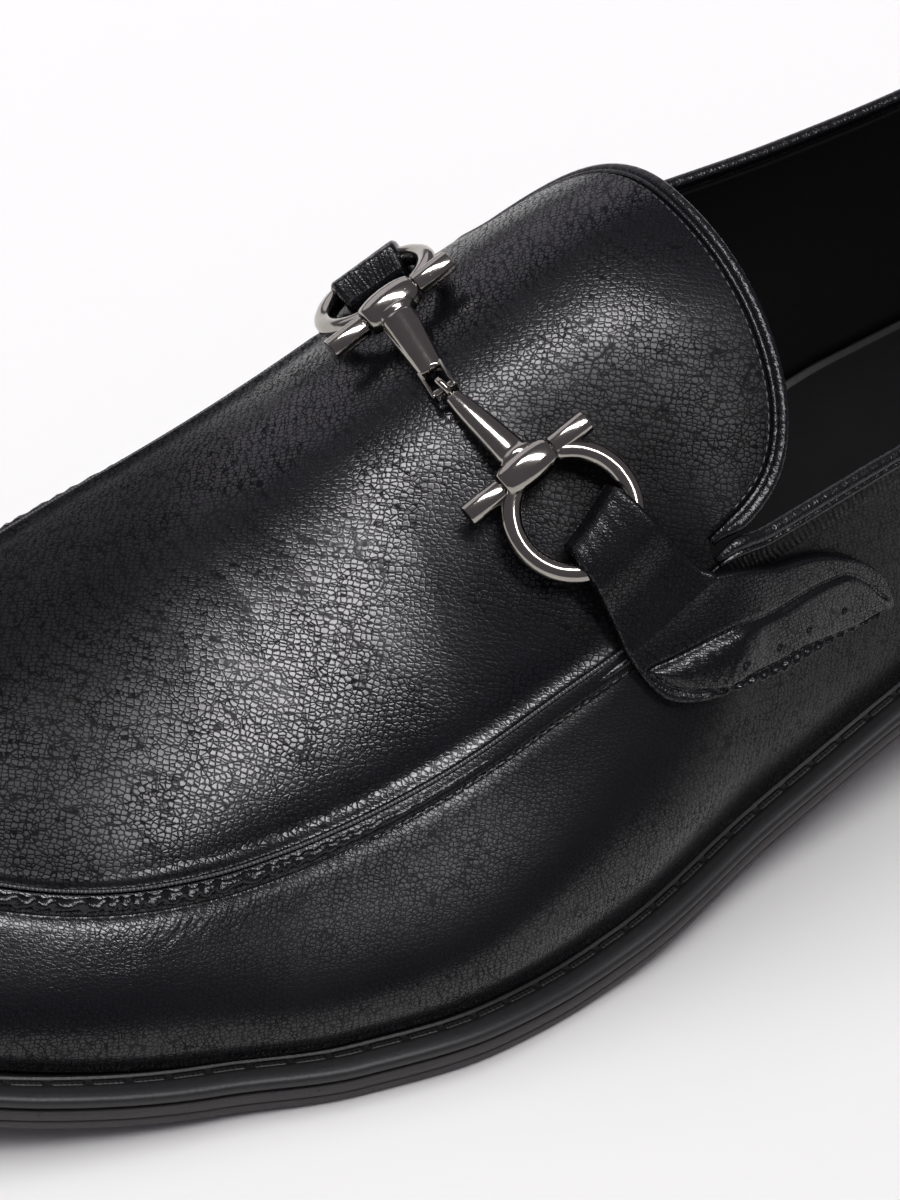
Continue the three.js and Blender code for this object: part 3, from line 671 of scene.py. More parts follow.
def shade_and_dull_waist(finish):
    """Painted shade with rougher leather towards the back above the wall's lowest part, and in a band under
    the seam on the forepart
    """
    x, _, z = finish.place_parts()
    cloud = finish.noise(finish.place(), 30, 2.0) * 0.5 + 0.75
    _, below = finish.along()
    waist = (1 - x.step(-0.02, 0.1)) * z.step(0.018, 0.034)
    between = x.step(0.0, 0.03) * (1 - x.step(0.075, 0.1))
    under_seam = below.step(2.6, 6.0) * (1 - below.step(16.0, 30.0)) * between
    return waist.sum("MAXIMUM", under_seam) * cloud


SIDE_LEATHER = leather("side_leather", size=0.6, depth=0.015, rough=0.2, crease_shade=0.8, dull_and_shade=shade_and_dull_waist,
                       extra=side_details)
finish_piece(side_piece, SIDE_LEATHER, "upper_leather", "upper")

# %% [markdown]
# The plug covers the toes and the instep and ends in the tongue. Its grid runs round the edge of
# the plug and inwards to a line along its middle. At the seam the edge stands up as a thin bead
# and dives behind it, and along the tongue it is rounded over to meet the piping.

# %% Plug and tongue
PLUG_EDGE = table("at lift", [(0, -0.3), (0.05, 0.1), (0.14, 0.4), (0.34, 0.58), (0.6, 0.5), (0.9, 0.24),
                              (1.3, -0.02), (1.9, -0.16), (2.8, -0.08), (4.5, 0)])
TONGUE_LIP = table("at lift", [(0, -0.5), (0.2, -0.16), (0.6, 0), (4, 0)])
EDGE_ROWS = np.array([0, 0.05, 0.12, 0.21, 0.32, 0.44, 0.56, 0.68, 0.82, 0.98, 1.2, 1.5, 1.9, 2.5, 3.3, 4.5])


def tongue_edge(steps):
    """Free edge of the tongue from the inner join to the outer one"""
    inner = top_edge(np.array([share_at(JOIN)]), np.array([-1.0]))[0]
    outer = top_edge(np.array([share_at(JOIN)]), np.array([1.0]))[0]
    inset = WALL + PIPING / 3
    angle = np.linspace(-0.5, 0.5, steps + 1) * np.pi
    half = np.where(angle > 0, outer[1] - RIDGE - inset, RIDGE - inner[1] - inset)
    fullness = 3.4
    y = RIDGE + np.sign(angle) * half * np.abs(np.sin(angle)) ** (2 / fullness)
    s = JOIN - GAP - (TONGUE_LENGTH - GAP) * np.clip(np.cos(angle), 0, 1) ** (2 / fullness)
    return places(s, y, top_height(s, y))


def even_track(track, count):
    run = np.concatenate([[0], np.cumsum(np.linalg.norm(np.diff(track, axis=0), axis=1))])
    even = np.linspace(0, run[-1], count + 1)
    return np.stack([np.interp(even, run, track[:, k]) for k in range(3)], -1)


def plug_grid(per_side, tongue_count, inner_rows):
    front_outer, _ = even_shares(top_edge, share_at(JOIN), 1, per_side, 1)
    front_inner, _ = even_shares(top_edge, share_at(JOIN), 1, per_side, -1)
    seam = np.concatenate([top_edge(front_outer, np.ones(per_side + 1)),
                           top_edge(front_inner[::-1], -np.ones(per_side + 1))[1:]])
    free = even_track(tongue_edge(2000), tongue_count)
    edge = np.concatenate([seam, free, seam[:1]])
    on_seam = np.concatenate([np.ones(len(seam)), np.zeros(len(free)), np.ones(1)])
    spine_from, spine_to = JOIN + 0.01 * LENGTH, LINES["top"][1] - 0.075 * LENGTH
    centre = np.clip(edge[:, 0], spine_from, spine_to)
    length = np.hypot(edge[:, 0] - centre, edge[:, 1])[:, None]
    rows = np.minimum(EDGE_ROWS[None, :] / length, 0.5)
    rest = mix(rows[:, -1:], 1, np.linspace(0, 1, inner_rows + 1)[None, 1:])
    inwards = np.concatenate([rows, rest], 1)
    s, y = mix(edge[:, :1], centre[:, None], inwards), mix(edge[:, 1:2], 0, inwards)
    grid = places(s, y, top_height(s, y))
    grid[:, 0] = edge
    run = np.concatenate([[0], np.cumsum(np.linalg.norm(np.diff(edge, axis=0), axis=1))])[:, None]
    return grid, np.broadcast_to(run, s.shape), inwards * length, on_seam[:, None]


def top_normal(s, y):
    slope_s = (top_height(s + 0.5, y) - top_height(s - 0.5, y))
    slope_y = (top_height(s, y + 0.5) - top_height(s, y - 0.5))
    normal = places(-slope_s, -slope_y, 1.0)
    return normal / np.linalg.norm(normal, axis=-1, keepdims=True)


FLEX_CREASES = [  # share of the length, depth, half width, lean
    (0.672, 0.05, 1.6, 0.10), (0.702, 0.06, 1.9, 0.16), (0.735, 0.05, 1.7, 0.2),
    (0.625, 0.05, 1.8, 0.05), (0.59, 0.04, 2.0, -0.04),
]


def flex_creases(s, y):
    """Soft troughs across the plug where the foot bends it"""
    waves = 0.0
    for at, depth, width, lean in FLEX_CREASES:
        off = s - at * LENGTH - lean * (y - RIDGE) + 1.5 * np.sin(y / 6.0 + 9 * at)
        waves = waves - depth * np.exp(-(off / width) ** 2) * fade(40, 22, np.abs(y - RIDGE))
    return waves


def tongue_fall(s):
    """How far the tongue's free edge is rolled down"""
    return 0.9 * fade(JOIN - 0.5, JOIN - 9, s)


grid, run, inside, on_seam = plug_grid(210, 130, 26)
s, y = grid[..., 0], grid[..., 1]
strength = seam_strength(s) * on_seam
lift = read(PLUG_EDGE, "lift", inside) * strength + read(TONGUE_LIP, "lift", inside) * (1 - strength)
lift += 0.12 * slow_waves(s, y, 0 * s, 8.0) * fade(1, 9, inside) + flex_creases(s, y)
lift -= tongue_fall(s[:, :1]) * np.clip(1 - inside / 13, 0, 1) ** 1.7 * (1 - on_seam)
normal = top_normal(s, y)
outer_face = grid + normal * lift[..., None]
inner_face = grid - normal * LEATHER_THICK
section = np.concatenate([outer_face[:, ::-1], inner_face[:, ::2]], 1)
metric = np.stack([run, inside], -1)
section_metric = np.concatenate([metric[:, ::-1], metric[:, ::2]], 1)
plug = lay("upper_plug", section, section_metric)
finish_piece(plug, PLUG_LEATHER, "upper_leather")

# %% [markdown]
# Inside, the shoe is lined with a thin dark suede. It follows the inner side of the leather from
# the collar down to the insole, and a second sheet lies under the tongue.

# %% Lining
LINING_THICK = 0.7


def suede(name, dark=(0.0015, 0.0015, 0.0018), light=(0.006, 0.006, 0.0068)):
    finish = Finish(name)
    place = finish.place()
    nap = finish.noise(place, 0.35, 3.0, 0.7)
    cloud = finish.noise(place, 9, 3.0, 0.55)
    shade = finish.tint(dark, light, (nap * 0.6 + cloud * 0.5).clamp())
    return finish.wear(Base_Color=shade, Roughness=0.85, Normal=finish.relief(nap, 0.12),
                       Sheen_Weight=0.03, Sheen_Roughness=0.5, Specular_IOR_Level=0.12)


SUEDE = suede("lining_suede")
rows = np.array([0.15, 0.6, 1.2, 2, 3, 5, 8])
base, normal, metric, share, side = side_grid(150, 18, rows)
near_face = base - normal * (LEATHER_THICK + 0.08)
far_face = base - normal * (LEATHER_THICK + LINING_THICK)
section = np.concatenate([near_face, far_face[:, ::-1], near_face[:, :1]], 1)
section_metric = np.concatenate([metric, metric[:, ::-1], metric[:, :1]], 1)
finish_piece(lay("lining", section, section_metric), SUEDE, "sock_lining")
grid, run, inside, on_seam = plug_grid(90, 80, 12)
normal = top_normal(grid[..., 0], grid[..., 1])
near_face = grid - normal * (LEATHER_THICK + 0.08)
far_face = grid - normal * (LEATHER_THICK + LINING_THICK)
section = np.concatenate([near_face[:, ::-1], far_face], 1)
metric = np.stack([run, inside], -1)
section_metric = np.concatenate([metric[:, ::-1], metric], 1)
finish_piece(lay("tongue_lining", section, section_metric), SUEDE, "sock_lining")

# %% [markdown]
# The sole is built up in layers that all follow one outline: welt, outsole and heel. Each layer
# is a short section, written as inset from the outline and height, carried round the outline. At
# every place the layer also follows the rise of the arch and the spring of the toe.

# %% Layers of the sole
def sole_ring(start, end, per_side):
    shares = (1 - np.cos(np.linspace(math.acos(1 - 2 * start), math.acos(1 - 2 * end), per_side + 1))) / 2
    share = np.concatenate([shares, shares[::-1]])[:, None]
    side = np.concatenate([np.ones(per_side + 1), -np.ones(per_side + 1)])[:, None]
    return share, side


def layer(name, section, per_side=220, end=1.0, strip=False, scale=None):
    """A layer from rows of inset and height; strip closes the section on itself"""
    share, side = sole_ring(0, end, per_side)
    inset, height = np.array([row[0] for row in section])[None], np.array([row[1] for row in section])[None]
    s, y = plan("sole", share, side)
    out_s, out_y = outward("sole", share, side)
    at, y = s - inset * out_s, y - inset * out_y
    z = scale(at, height) if scale else rise(at) + height
    grid = places(at, y, z)
    if not strip:
        middle = mix(grid, grid[::-1], 0.5)
        steps = np.array([0.35, 0.7, 1.0])[None, :, None]
        low, high = (mix(grid[:, [k]], middle[:, [k]], steps) for k in (0, -1))
        grid = np.concatenate([low[:, ::-1], grid, high], 1)
    else:
        grid = np.concatenate([grid, grid[:, :1]], 1)
    grid = np.concatenate([grid, grid[:1]], 0)
    step = np.linalg.norm(np.diff(plan_track(share, side), axis=0), axis=1)
    run = np.concatenate([[0], np.cumsum(step), [0]])
    run[-1] = run[-2]
    rows = np.concatenate([[0], np.cumsum(np.linalg.norm(np.diff(grid[0], axis=0), axis=-1))])
    metric = np.stack(np.broadcast_arrays(run[:, None], rows[None]), -1)
    return lay(name, grid, metric)


def plan_track(share, side):
    s, y = plan("sole", share, side)
    return np.concatenate([s, y], 1)


def arc(middle, radius, start, end, steps):
    angles = np.radians(np.linspace(start, end, steps + 1))
    return [(middle[0] - radius * math.cos(a), middle[1] + radius * math.sin(a)) for a in angles]


WELT_BASE = OUTSOLE + GAP
half_welt = WELT / 2
WELT_TOP = WELT_BASE + WELT
welt_section = (arc((half_welt, WELT_BASE + half_welt), half_welt, -90, 80, 9)
                + [(1.7, WELT_TOP), (2.6, WELT_TOP), (3.0, WELT_TOP - 0.02), (3.2, WELT_TOP - 0.12),
                   (3.3, WELT_TOP - 0.26), (3.6, WELT_TOP - 0.3), (4.4, WELT_TOP - 0.3),
                   (4.65, WELT_TOP - 0.24), (4.75, WELT_TOP - 0.08), (4.95, WELT_TOP - 0.02),
                   (5.4, WELT_TOP - 0.1),
                   (WELT_WIDTH, WELT_TOP - 0.2), (WELT_WIDTH, WELT_BASE)])
welt = layer("welt_strip", welt_section, strip=True)
line = 0.52 * OUTSOLE
outsole_section = [(0.9, 0), (0.55, 0.12), (0.3, 0.4), (0.12, 0.9), (0.05, line - 0.32), (0.12, line - 0.2),
                   (0.55, line - 0.05), (0.55, line + 0.05), (0.1, line + 0.2), (0.0, line + 0.34),
                   (0.0, OUTSOLE - 0.5), (0.12, OUTSOLE - 0.2), (0.5, OUTSOLE)]
outsole = layer("outsole_layer", outsole_section)
heel_section = [(3.4, 0), (3.05, 0.012), (2.9, 0.04), (2.5, 0.35), (1.9, 0.65), (1.35, 0.9),
                (1.2, 0.975), (1.5, 1)]
heel = layer("heel_block", heel_section, 90, HEEL_LENGTH / LENGTH,
             scale=lambda at, up: up * (rise(at) - GAP))
sock_section = [(WELT_WIDTH + GAP, WELT_BASE), (WELT_WIDTH + GAP - 0.9, WELT_BASE + INSOLE - 0.6),
                (WELT_WIDTH + GAP - 0.6, WELT_BASE + INSOLE - 0.1),
                (WELT_WIDTH + GAP, WELT_BASE + INSOLE + 0.1),
                (WELT_WIDTH + GAP + 2, WELT_BASE + INSOLE + 0.2)]
sock = layer("sock", sock_section, 120)

# %% [markdown]
# The welt is moulded rubber with a row of mock stitches, each a low capsule in a shallow groove.
# They are small and regular, so a bump that reads the strip's own map draws them. The outsole's
# edge is a ground, dusty brown-grey, with fine streaks that run along it.

# %% Sole finishes
STITCH_PITCH, STITCH_LENGTH, STITCH_HALF = 6.0, 4.9, 0.42


def moulded_welt():
    finish = Finish("welt_rubber")
    place = finish.place()
    run, across = finish.along()
    centre = 6.35
    along = (run / STITCH_PITCH).sum("FRACT") * STITCH_PITCH - STITCH_PITCH / 2
    beyond = (along.sum("ABSOLUTE") - (STITCH_LENGTH / 2 - STITCH_HALF)).sum("MAXIMUM", 0.0)
    off = across - centre
    round_off = (beyond * beyond + off * off).sum("SQRT")
    capsule = 1 - round_off.step(STITCH_HALF - 0.15, STITCH_HALF + 0.15)
    fine = finish.noise(place, 0.5, 3.0, 0.6)
    streak = finish.noise(finish.place((6, 6, 0.5)), 1.2, 2.0, 0.5)
    shade = finish.tint((0.007, 0.007, 0.008), (0.016, 0.0155, 0.0165), (fine * 0.6 + streak * 0.5).clamp())
    bead = ((along / 0.8).sum("FRACT") - 0.5).sum("ABSOLUTE") * capsule
    normal = finish.relief(capsule - bead * 0.35 + fine * 0.1, 0.34)
    return finish.wear(Base_Color=shade, Roughness=(0.34 + fine * 0.22).clamp(), Normal=normal,
                       Specular_IOR_Level=0.5)


def ground_edge(name, dark, light):
    finish = Finish(name)
    place = finish.place()
    run, across = finish.along()
    streak = finish.noise(finish.joined(run / 8, across / 0.35), 0.9, 3.0, 0.6)
    dust = finish.noise(place, 0.4, 2.0, 0.6)
    nicks = finish.noise(place, 2.3, 4.0, 0.75).step(0.62, 0.7)
    shade = finish.tint(dark, light, (streak * 0.8 + dust * 0.35).clamp())
    wear_and_painted_shade = finish.tint(shade, tuple(0.4 * c for c in dark), nicks * 0.6)
    normal = finish.relief(streak * 0.5 + dust * 0.4, 0.1)
    return finish.wear(Base_Color=wear_and_painted_shade, Roughness=0.62, Normal=normal, Specular_IOR_Level=0.35)


EDGE_RUBBER = ground_edge("outsole_rubber", (0.034, 0.030, 0.032), (0.075, 0.068, 0.07))
HEEL_RUBBER = ground_edge("heel_rubber", (0.026, 0.023, 0.025), (0.055, 0.05, 0.052))
finish_piece(welt, moulded_welt(), "welt_rubber", "welt")
finish_piece(outsole, EDGE_RUBBER, "outsole_rubber", "outsole")
finish_piece(heel, HEEL_RUBBER, "heel_rubber", "heel")
finish_piece(sock, SUEDE, "sock_lining", "insole")

# %% [markdown]
# The collar and the tongue are bound with a rolled strip of smooth leather. A roll is a circle
# carried along a track. Its frame is worked out at each place from the track's own direction, so
# the roll doesn't twist.

# %% Pipings
def tube(name, track, radius, sides=14):
    """A round cord along a track of places, with closed ends"""
    step = np.gradient(track, axis=0)
    step /= np.linalg.norm(step, axis=1, keepdims=True)
    above = np.array([0, 0, 1.0]) - step * step[:, 2:]
    above /= np.linalg.norm(above, axis=1, keepdims=True)
    beside = np.cross(step, above)
    radii = np.asarray(radius, float)
    radii = radii if radii.ndim == 2 else np.broadcast_to(radii[..., None], (len(track), sides + 1))
    angles = np.linspace(0, 2 * np.pi, sides + 1)
    round_way = (np.cos(angles)[None, :, None] * beside[:, None]
                 + np.sin(angles)[None, :, None] * above[:, None])
    grid = track[:, None] + round_way * radii[..., None]
    ends = [np.repeat(track[[k], None], sides + 1, 1) for k in (0, -1)]
    grid = np.concatenate([ends[0], grid, ends[1]])
    run = np.concatenate([[0], np.cumsum(np.linalg.norm(np.diff(grid.mean(1), axis=0), axis=1))])
    metric = np.stack(np.broadcast_arrays(run[:, None], angles[None] * radii.mean()), -1)
    return lay(name, grid, metric)


def piping_leather():
    finish = Finish("piping_leather")
    place = finish.place()
    run, _ = finish.along()
    wrinkle = finish.noise(place, 1.4, 3.0, 0.6)
    fine = finish.cells(place, 0.7).step(0.0, 0.3)
    tucks = ((run * (2 * math.pi / 1.9) + wrinkle * 5).sum("SINE") * 0.5 + 0.5) * 0.35
    normal = finish.relief(fine * 0.25 + wrinkle * 0.7 + tucks, 0.1)
    return finish.wear(Base_Color=(0.0042, 0.0038, 0.0052), Roughness=(0.2 + wrinkle * 0.14).clamp(),
                       Normal=normal, Specular_IOR_Level=0.4)


PIPING_LEATHER = piping_leather()
stop = share_at(JOIN - 0.6)
outer, _ = even_shares(top_edge, 0, stop, 190, 1)
inner, _ = even_shares(top_edge, 0, stop, 190, -1)
share = np.concatenate([outer[::-1], inner[1:]])
side = np.concatenate([np.ones(len(outer)), -np.ones(len(inner) - 1)])
out = places(*outward("top", share, side), 0)
near_join = fade(JOIN - 5, JOIN - 0.5, top_edge(share, side)[:, 0])
roll_size = 1.12 * (1 - 0.45 * near_join)
rim = top_edge(share, side)
above = np.array([0, 0, 1.0])
main = tube("collar_roll", rim - out * 0.8 + above * (1.25 - 0.9 * near_join)[:, None], roll_size)
under_track = rim + out * 0.12 + above * (0.35 - 0.3 * near_join)[:, None]
under = tube("collar_under", under_track, 0.5 * roll_size, 10)
finish_piece(join("collar_roll", [main, under]), PIPING_LEATHER, "piping_leather", "collar_piping")

edge = even_track(tongue_edge(2000), 190)
along = np.gradient(edge, axis=0)
over = top_normal(edge[:, 0], edge[:, 1])
edge = edge - over * tongue_fall(edge[:, :1])
away = np.cross(along, over)
away /= np.linalg.norm(away, axis=1, keepdims=True)
away *= np.sign(np.sum(away * (edge - np.array([JOIN + 20, 0, 60.0])), axis=1, keepdims=True))
near_join = fade(JOIN - 5, JOIN - 0.5, edge[:, 0])[:, None]
main = tube("tongue_roll", edge + away * (1.75 - 0.9 * near_join) - over * (0.75 + 0.5 * near_join),
            0.95 * (1 - 0.4 * near_join[:, 0]))
under = tube("tongue_under", edge + away * 0.55 - over * (0.42 + 0.4 * near_join), 0.5, 10)
finish_piece(join("tongue_roll", [main, under]), PIPING_LEATHER, "piping_leather", "tongue_piping")

# %% [markdown]
# Thread shows in three places: a beaded edge along the raised seam, whose lighter grey is a painted
# highlight, a row of dashes just inside the tongue's edge, and a finer row below the seam. Each
# stitch is a short capsule with a few faces only, because there are hundreds. Beside the bead the
# leather is bunched over its cord, and a thick tube whose lobes wind round it as they go gives
# that crumpled rope.

# %% Bead and stitches
def thread(name, dark, light, rough, pitch=None):
    """Waxed thread; with a pitch in mm it is laid over in small ticks along its run"""
    finish = Finish(name)
    fibre = finish.noise(finish.place(), 0.25, 2.0)
    height = fibre * 0.3
    if pitch:
        run, _ = finish.along()
        ticks = ((run / pitch).sum("FRACT") - 0.5).sum("ABSOLUTE").step(0.12, 0.4)
        height = height - ticks
        # Painted shade: the grooves between the ticks are faded towards black.
        finish.paint_shade(ticks * 0.5)
    return finish.wear(Base_Color=finish.tint(dark, light, fibre), Roughness=rough,
                       Normal=finish.relief(height, 0.1))


def stitches(name, track, facing, pitch, length, thick):
    """Capsules of a length along a track of places, lying flat on the faces named by facing"""
    run = np.concatenate([[0], np.cumsum(np.linalg.norm(np.diff(track, axis=0), axis=1))])
    rows = np.array([(-1, 0.3), (-0.82, 0.8), (-0.4, 1), (0.4, 1), (0.82, 0.8), (1, 0.3)])
    turns = np.arange(6) * math.pi / 3
    corners, faces = [], []
    for middle in np.arange(pitch, run[-1] - pitch, pitch):
        at = middle + rows[:, :1] * length / 2
        spine = np.stack([np.interp(at[:, 0], run, track[:, k]) for k in range(3)], 1)
        up = np.array([np.interp(middle, run, facing[:, k]) for k in range(3)])
        way = spine[-1] - spine[0]
        beside = np.cross(way, up)
        beside /= np.linalg.norm(beside)
        ring = np.cos(turns)[None, :, None] * beside + np.sin(turns)[None, :, None] * up
        points = spine[:, None] + ring * (rows[:, 1:] * thick / 2)[..., None]
        first = 6 * len(rows) * (len(corners))
        corners.append(points.reshape(-1, 3))
        for i in range(len(rows) - 1):
            for j in range(6):
                a, b = first + 6 * i + j, first + 6 * i + (j + 1) % 6
                faces.append((a, b, b + 6, a + 6))
        faces.append(tuple(first + j for j in range(5, -1, -1)))
        faces.append(tuple(first + 6 * (len(rows) - 1) + j for j in range(6)))
    mesh = bpy.data.meshes.new(name)
    mesh.from_pydata(to_frame(np.concatenate(corners)).tolist(), [], faces)
    piece = bpy.data.objects.new(name, mesh)
    bpy.context.collection.objects.link(piece)
    select_only(piece)
    bpy.ops.object.mode_set(mode="EDIT")
    bpy.ops.mesh.select_all(action="SELECT")
    bpy.ops.mesh.normals_make_consistent(inside=False)
    bpy.ops.object.mode_set(mode="OBJECT")
    bpy.ops.object.shade_smooth()
    return piece


# The bead's thread is a lighter grey than the other thread: a painted highlight for the gloss along the thin
# bead.
BEAD_THREAD_HIGHLIGHT = thread("bead_thread_painted_highlight", (0.05, 0.05, 0.054), (0.14, 0.14, 0.148), 0.26, 0.62)
THREAD = thread("waxed_thread", (0.022, 0.022, 0.024), (0.06, 0.06, 0.064), 0.34)
grid, run, inside, on_seam = plug_grid(420, 40, 1)
strength = seam_strength(grid[..., 0]) * on_seam
seam_line = grid[:842, 0]
lifted = top_normal(seam_line[:, 0], seam_line[:, 1])
inwards = grid[:842, 6] - grid[:842, 0]
inwards /= np.linalg.norm(inwards, axis=1, keepdims=True)
firm = strength[:842, :1]
bead_track = seam_line + inwards * 0.1 + lifted * (0.5 * firm - 0.3 * (1 - firm))
keep = firm[:, 0] > 0.02
bead = tube("seam_bead", bead_track[keep], 0.26, 8)
finish_piece(bead, BEAD_THREAD_HIGHLIGHT, "upper_leather")
place_of_row = edge - away * 0.55 + over * 0.02
tongue_row = stitches("tongue_stitches", place_of_row[8:-8], over[8:-8], 1.6, 1.15, 0.3)
finish_piece(tongue_row, THREAD, "upper_leather")


def wall_line(share, side, down):
    """Places on the side of the upper at a distance below its edge"""
    chord = np.linalg.norm(top_edge(share, side) - wall(share, side, 0 * share), axis=-1)
    return wall(share, side, 1 - down / (1.08 * chord))


outer, _ = even_shares(top_edge, share_at(JOIN + 14), 1, 640, 1)
inner, _ = even_shares(top_edge, share_at(JOIN + 14), 1, 640, -1)
share = np.concatenate([outer, inner[::-1][1:]])
side = np.concatenate([np.ones(len(outer)), -np.ones(len(inner) - 1)])
track = wall_line(share, side, 1.75)
facing = np.cross(np.gradient(track, axis=0), wall_line(share, side, 2.75) - track)
facing /= np.linalg.norm(facing, axis=1, keepdims=True)
facing *= np.sign(np.sum(facing * (track - np.array([JOIN + 30, 0, 10.0])), axis=1, keepdims=True))
run = np.concatenate([[0], np.cumsum(np.linalg.norm(np.diff(track, axis=0), axis=1))])[:, None]
angles = np.linspace(0, 2 * np.pi, 17)[None]
bunched = fade(0.6, 0.8, track[:, :1] / LENGTH)
phase = 2 * np.pi * run / 5.4 + 1.3 * np.sin(run / 4.3) + 0.8 * np.sin(run / 1.9)
lobes = np.cos(2 * (angles - phase)) + 0.5 * np.cos(3 * (angles + 0.7 * phase))
radii = mix(0.55, 0.98, bunched) * (1 + 0.2 * bunched * lobes)
rope_track = track + facing * mix(-0.25, 0.02, bunched)
rope = tube("seam_rope", rope_track, radii, 16)
finish_piece(rope, PIPING_LEATHER, "upper_leather")
parts = []
for turn in (1, -1):
    shares, _ = even_shares(top_edge, share_at(JOIN + 20), 0.74, 300, turn)
    side_of = np.full(shares.shape, float(turn))
    row, lower = wall_line(shares, side_of, 3.3), wall_line(shares, side_of, 4.3)
    facing = np.cross(np.gradient(row, axis=0), lower - row) * turn
    facing /= np.linalg.norm(facing, axis=1, keepdims=True)
    facing *= np.sign(np.sum(facing * (row - np.array([JOIN + 30, 0, 10.0])), axis=1, keepdims=True))
    parts.append(stitches(f"seam_row_{turn}", row + facing * 0.06, facing, 1.5, 1.0, 0.22))
finish_piece(join("seam_stitches", parts), THREAD, "upper_leather")

# %% [markdown]
# The bit is cast metal: two rings, each with a bar across it, and two mouth bars that meet in a
# link. Its places come from the leather below it: a small frame of three directions is found on
# the last at each ring, and every part of that side is modelled in it.

# %% Places of the bit
BIT_AT = 0.57 * LENGTH
BIT_MIDDLE = -0.018 * BALL_WIDTH
RING_BACK = 1.2
RING_RADIUS = (RING - RING_WIRE) / 2 + 0.35
BAR_BACK = 2.6
BAR_IN = 2.1


def bit_frame(side):
    y = BIT_MIDDLE + side * (BIT_SPAN / 2 + 0.83 * RING_RADIUS - BAR_IN)
    s = BIT_AT - RING_BACK - BAR_BACK

    def here(ds, dy):
        return np.array([s + ds, y + dy, float(top_height(s + ds, y + dy))])

    along = here(1, 0) - here(-1, 0)
    along /= np.linalg.norm(along)
    up = np.cross(along, here(0, 1) - here(0, -1))
    up /= np.linalg.norm(up)
    across = np.cross(up, along)
    ring = here(0, 0) + up * BIT_LIFT
    bar = ring + along * RING_BACK - side * across * RING_RADIUS
    return {"side": side, "along": along, "across": across, "up": up, "ring": ring, "bar": bar}


OUTER, INNER = bit_frame(1), bit_frame(-1)
LINK_AT = BIT_AT + 0.012 * LENGTH
LINK = np.array([LINK_AT, BIT_MIDDLE, float(top_height(LINK_AT, BIT_MIDDLE)) + BIT_LIFT])
print("link at", np.round(LINK, 1))

# %% [markdown]
# The cast parts are polished to a dark mirror, so their shapes are read from what they reflect.
# Bevelled edges matter more than the surface: a thin bright line runs along each of them. A
# turned part starts as a circle, which is extruded and scaled row by row, as on a lathe.

# %% Bit metal and turned parts
def bit_metal():
    finish = Finish("bit_metal")
    place = finish.place()
    haze = finish.noise(place, 3.0, 3.0, 0.6)
    pits = finish.noise(place, 0.5, 2.0, 0.7).step(0.7, 0.78)
    shade = finish.tint((0.42, 0.4, 0.36), (0.29, 0.275, 0.245), haze)
    normal = finish.relief(finish.noise(place, 2.2, 2.0, 0.5) + pits * -0.2, 0.03)
    return finish.wear(Base_Color=shade, Metallic=1.0, Roughness=(0.07 + haze * 0.09 + pits * 0.2).clamp(),
                       Normal=normal)


BIT_METAL = bit_metal()


def place_part(piece, origin, axis_x, axis_y, axis_z):
    """Moves a part's mesh from its own millimetres into the frame"""
    turn = Matrix((axis_x, axis_y, axis_z)).transposed().to_4x4()
    move = Matrix.Translation(Vector(to_frame(origin)))
    piece.data.transform(move @ turn @ Matrix.Scale(MM, 4))
    if turn.determinant() < 0:
        piece.data.flip_normals()


def turned(name, rows, sides=32):
    """A turned part along +Z from rows of (distance, radius), in its own millimetres"""
    bpy.ops.object.select_all(action="DESELECT")
    bpy.ops.mesh.primitive_circle_add(vertices=sides, radius=rows[0][1], location=(0, 0, rows[0][0]),
                                      fill_type="NGON")
    piece = bpy.context.object
    piece.name = piece.data.name = name
    bpy.ops.object.transform_apply(location=True, rotation=True, scale=True)
    bpy.ops.object.mode_set(mode="EDIT")
    bpy.ops.mesh.select_all(action="SELECT")
    for (z0, r0), (z1, r1) in zip(rows, rows[1:]):
        bpy.ops.mesh.extrude_region_move(TRANSFORM_OT_translate={"value": (0, 0, z1 - z0)})
        bpy.ops.transform.resize(value=(r1 / r0, r1 / r0, 1), center_override=(0, 0, z1))
    bpy.ops.mesh.select_all(action="SELECT")
    bpy.ops.mesh.normals_make_consistent(inside=False)
    bpy.ops.object.mode_set(mode="OBJECT")
    bpy.ops.object.shade_smooth_by_angle(angle=math.radians(35))
    return piece


ROUND_END = 0.18


def cheek_rows(start, end, radius):
    return [(start, radius - ROUND_END), (start + 0.05, radius - 0.05), (start + ROUND_END, radius),
            (end - ROUND_END, radius), (end - 0.05, radius - 0.05), (end, radius - ROUND_END)]


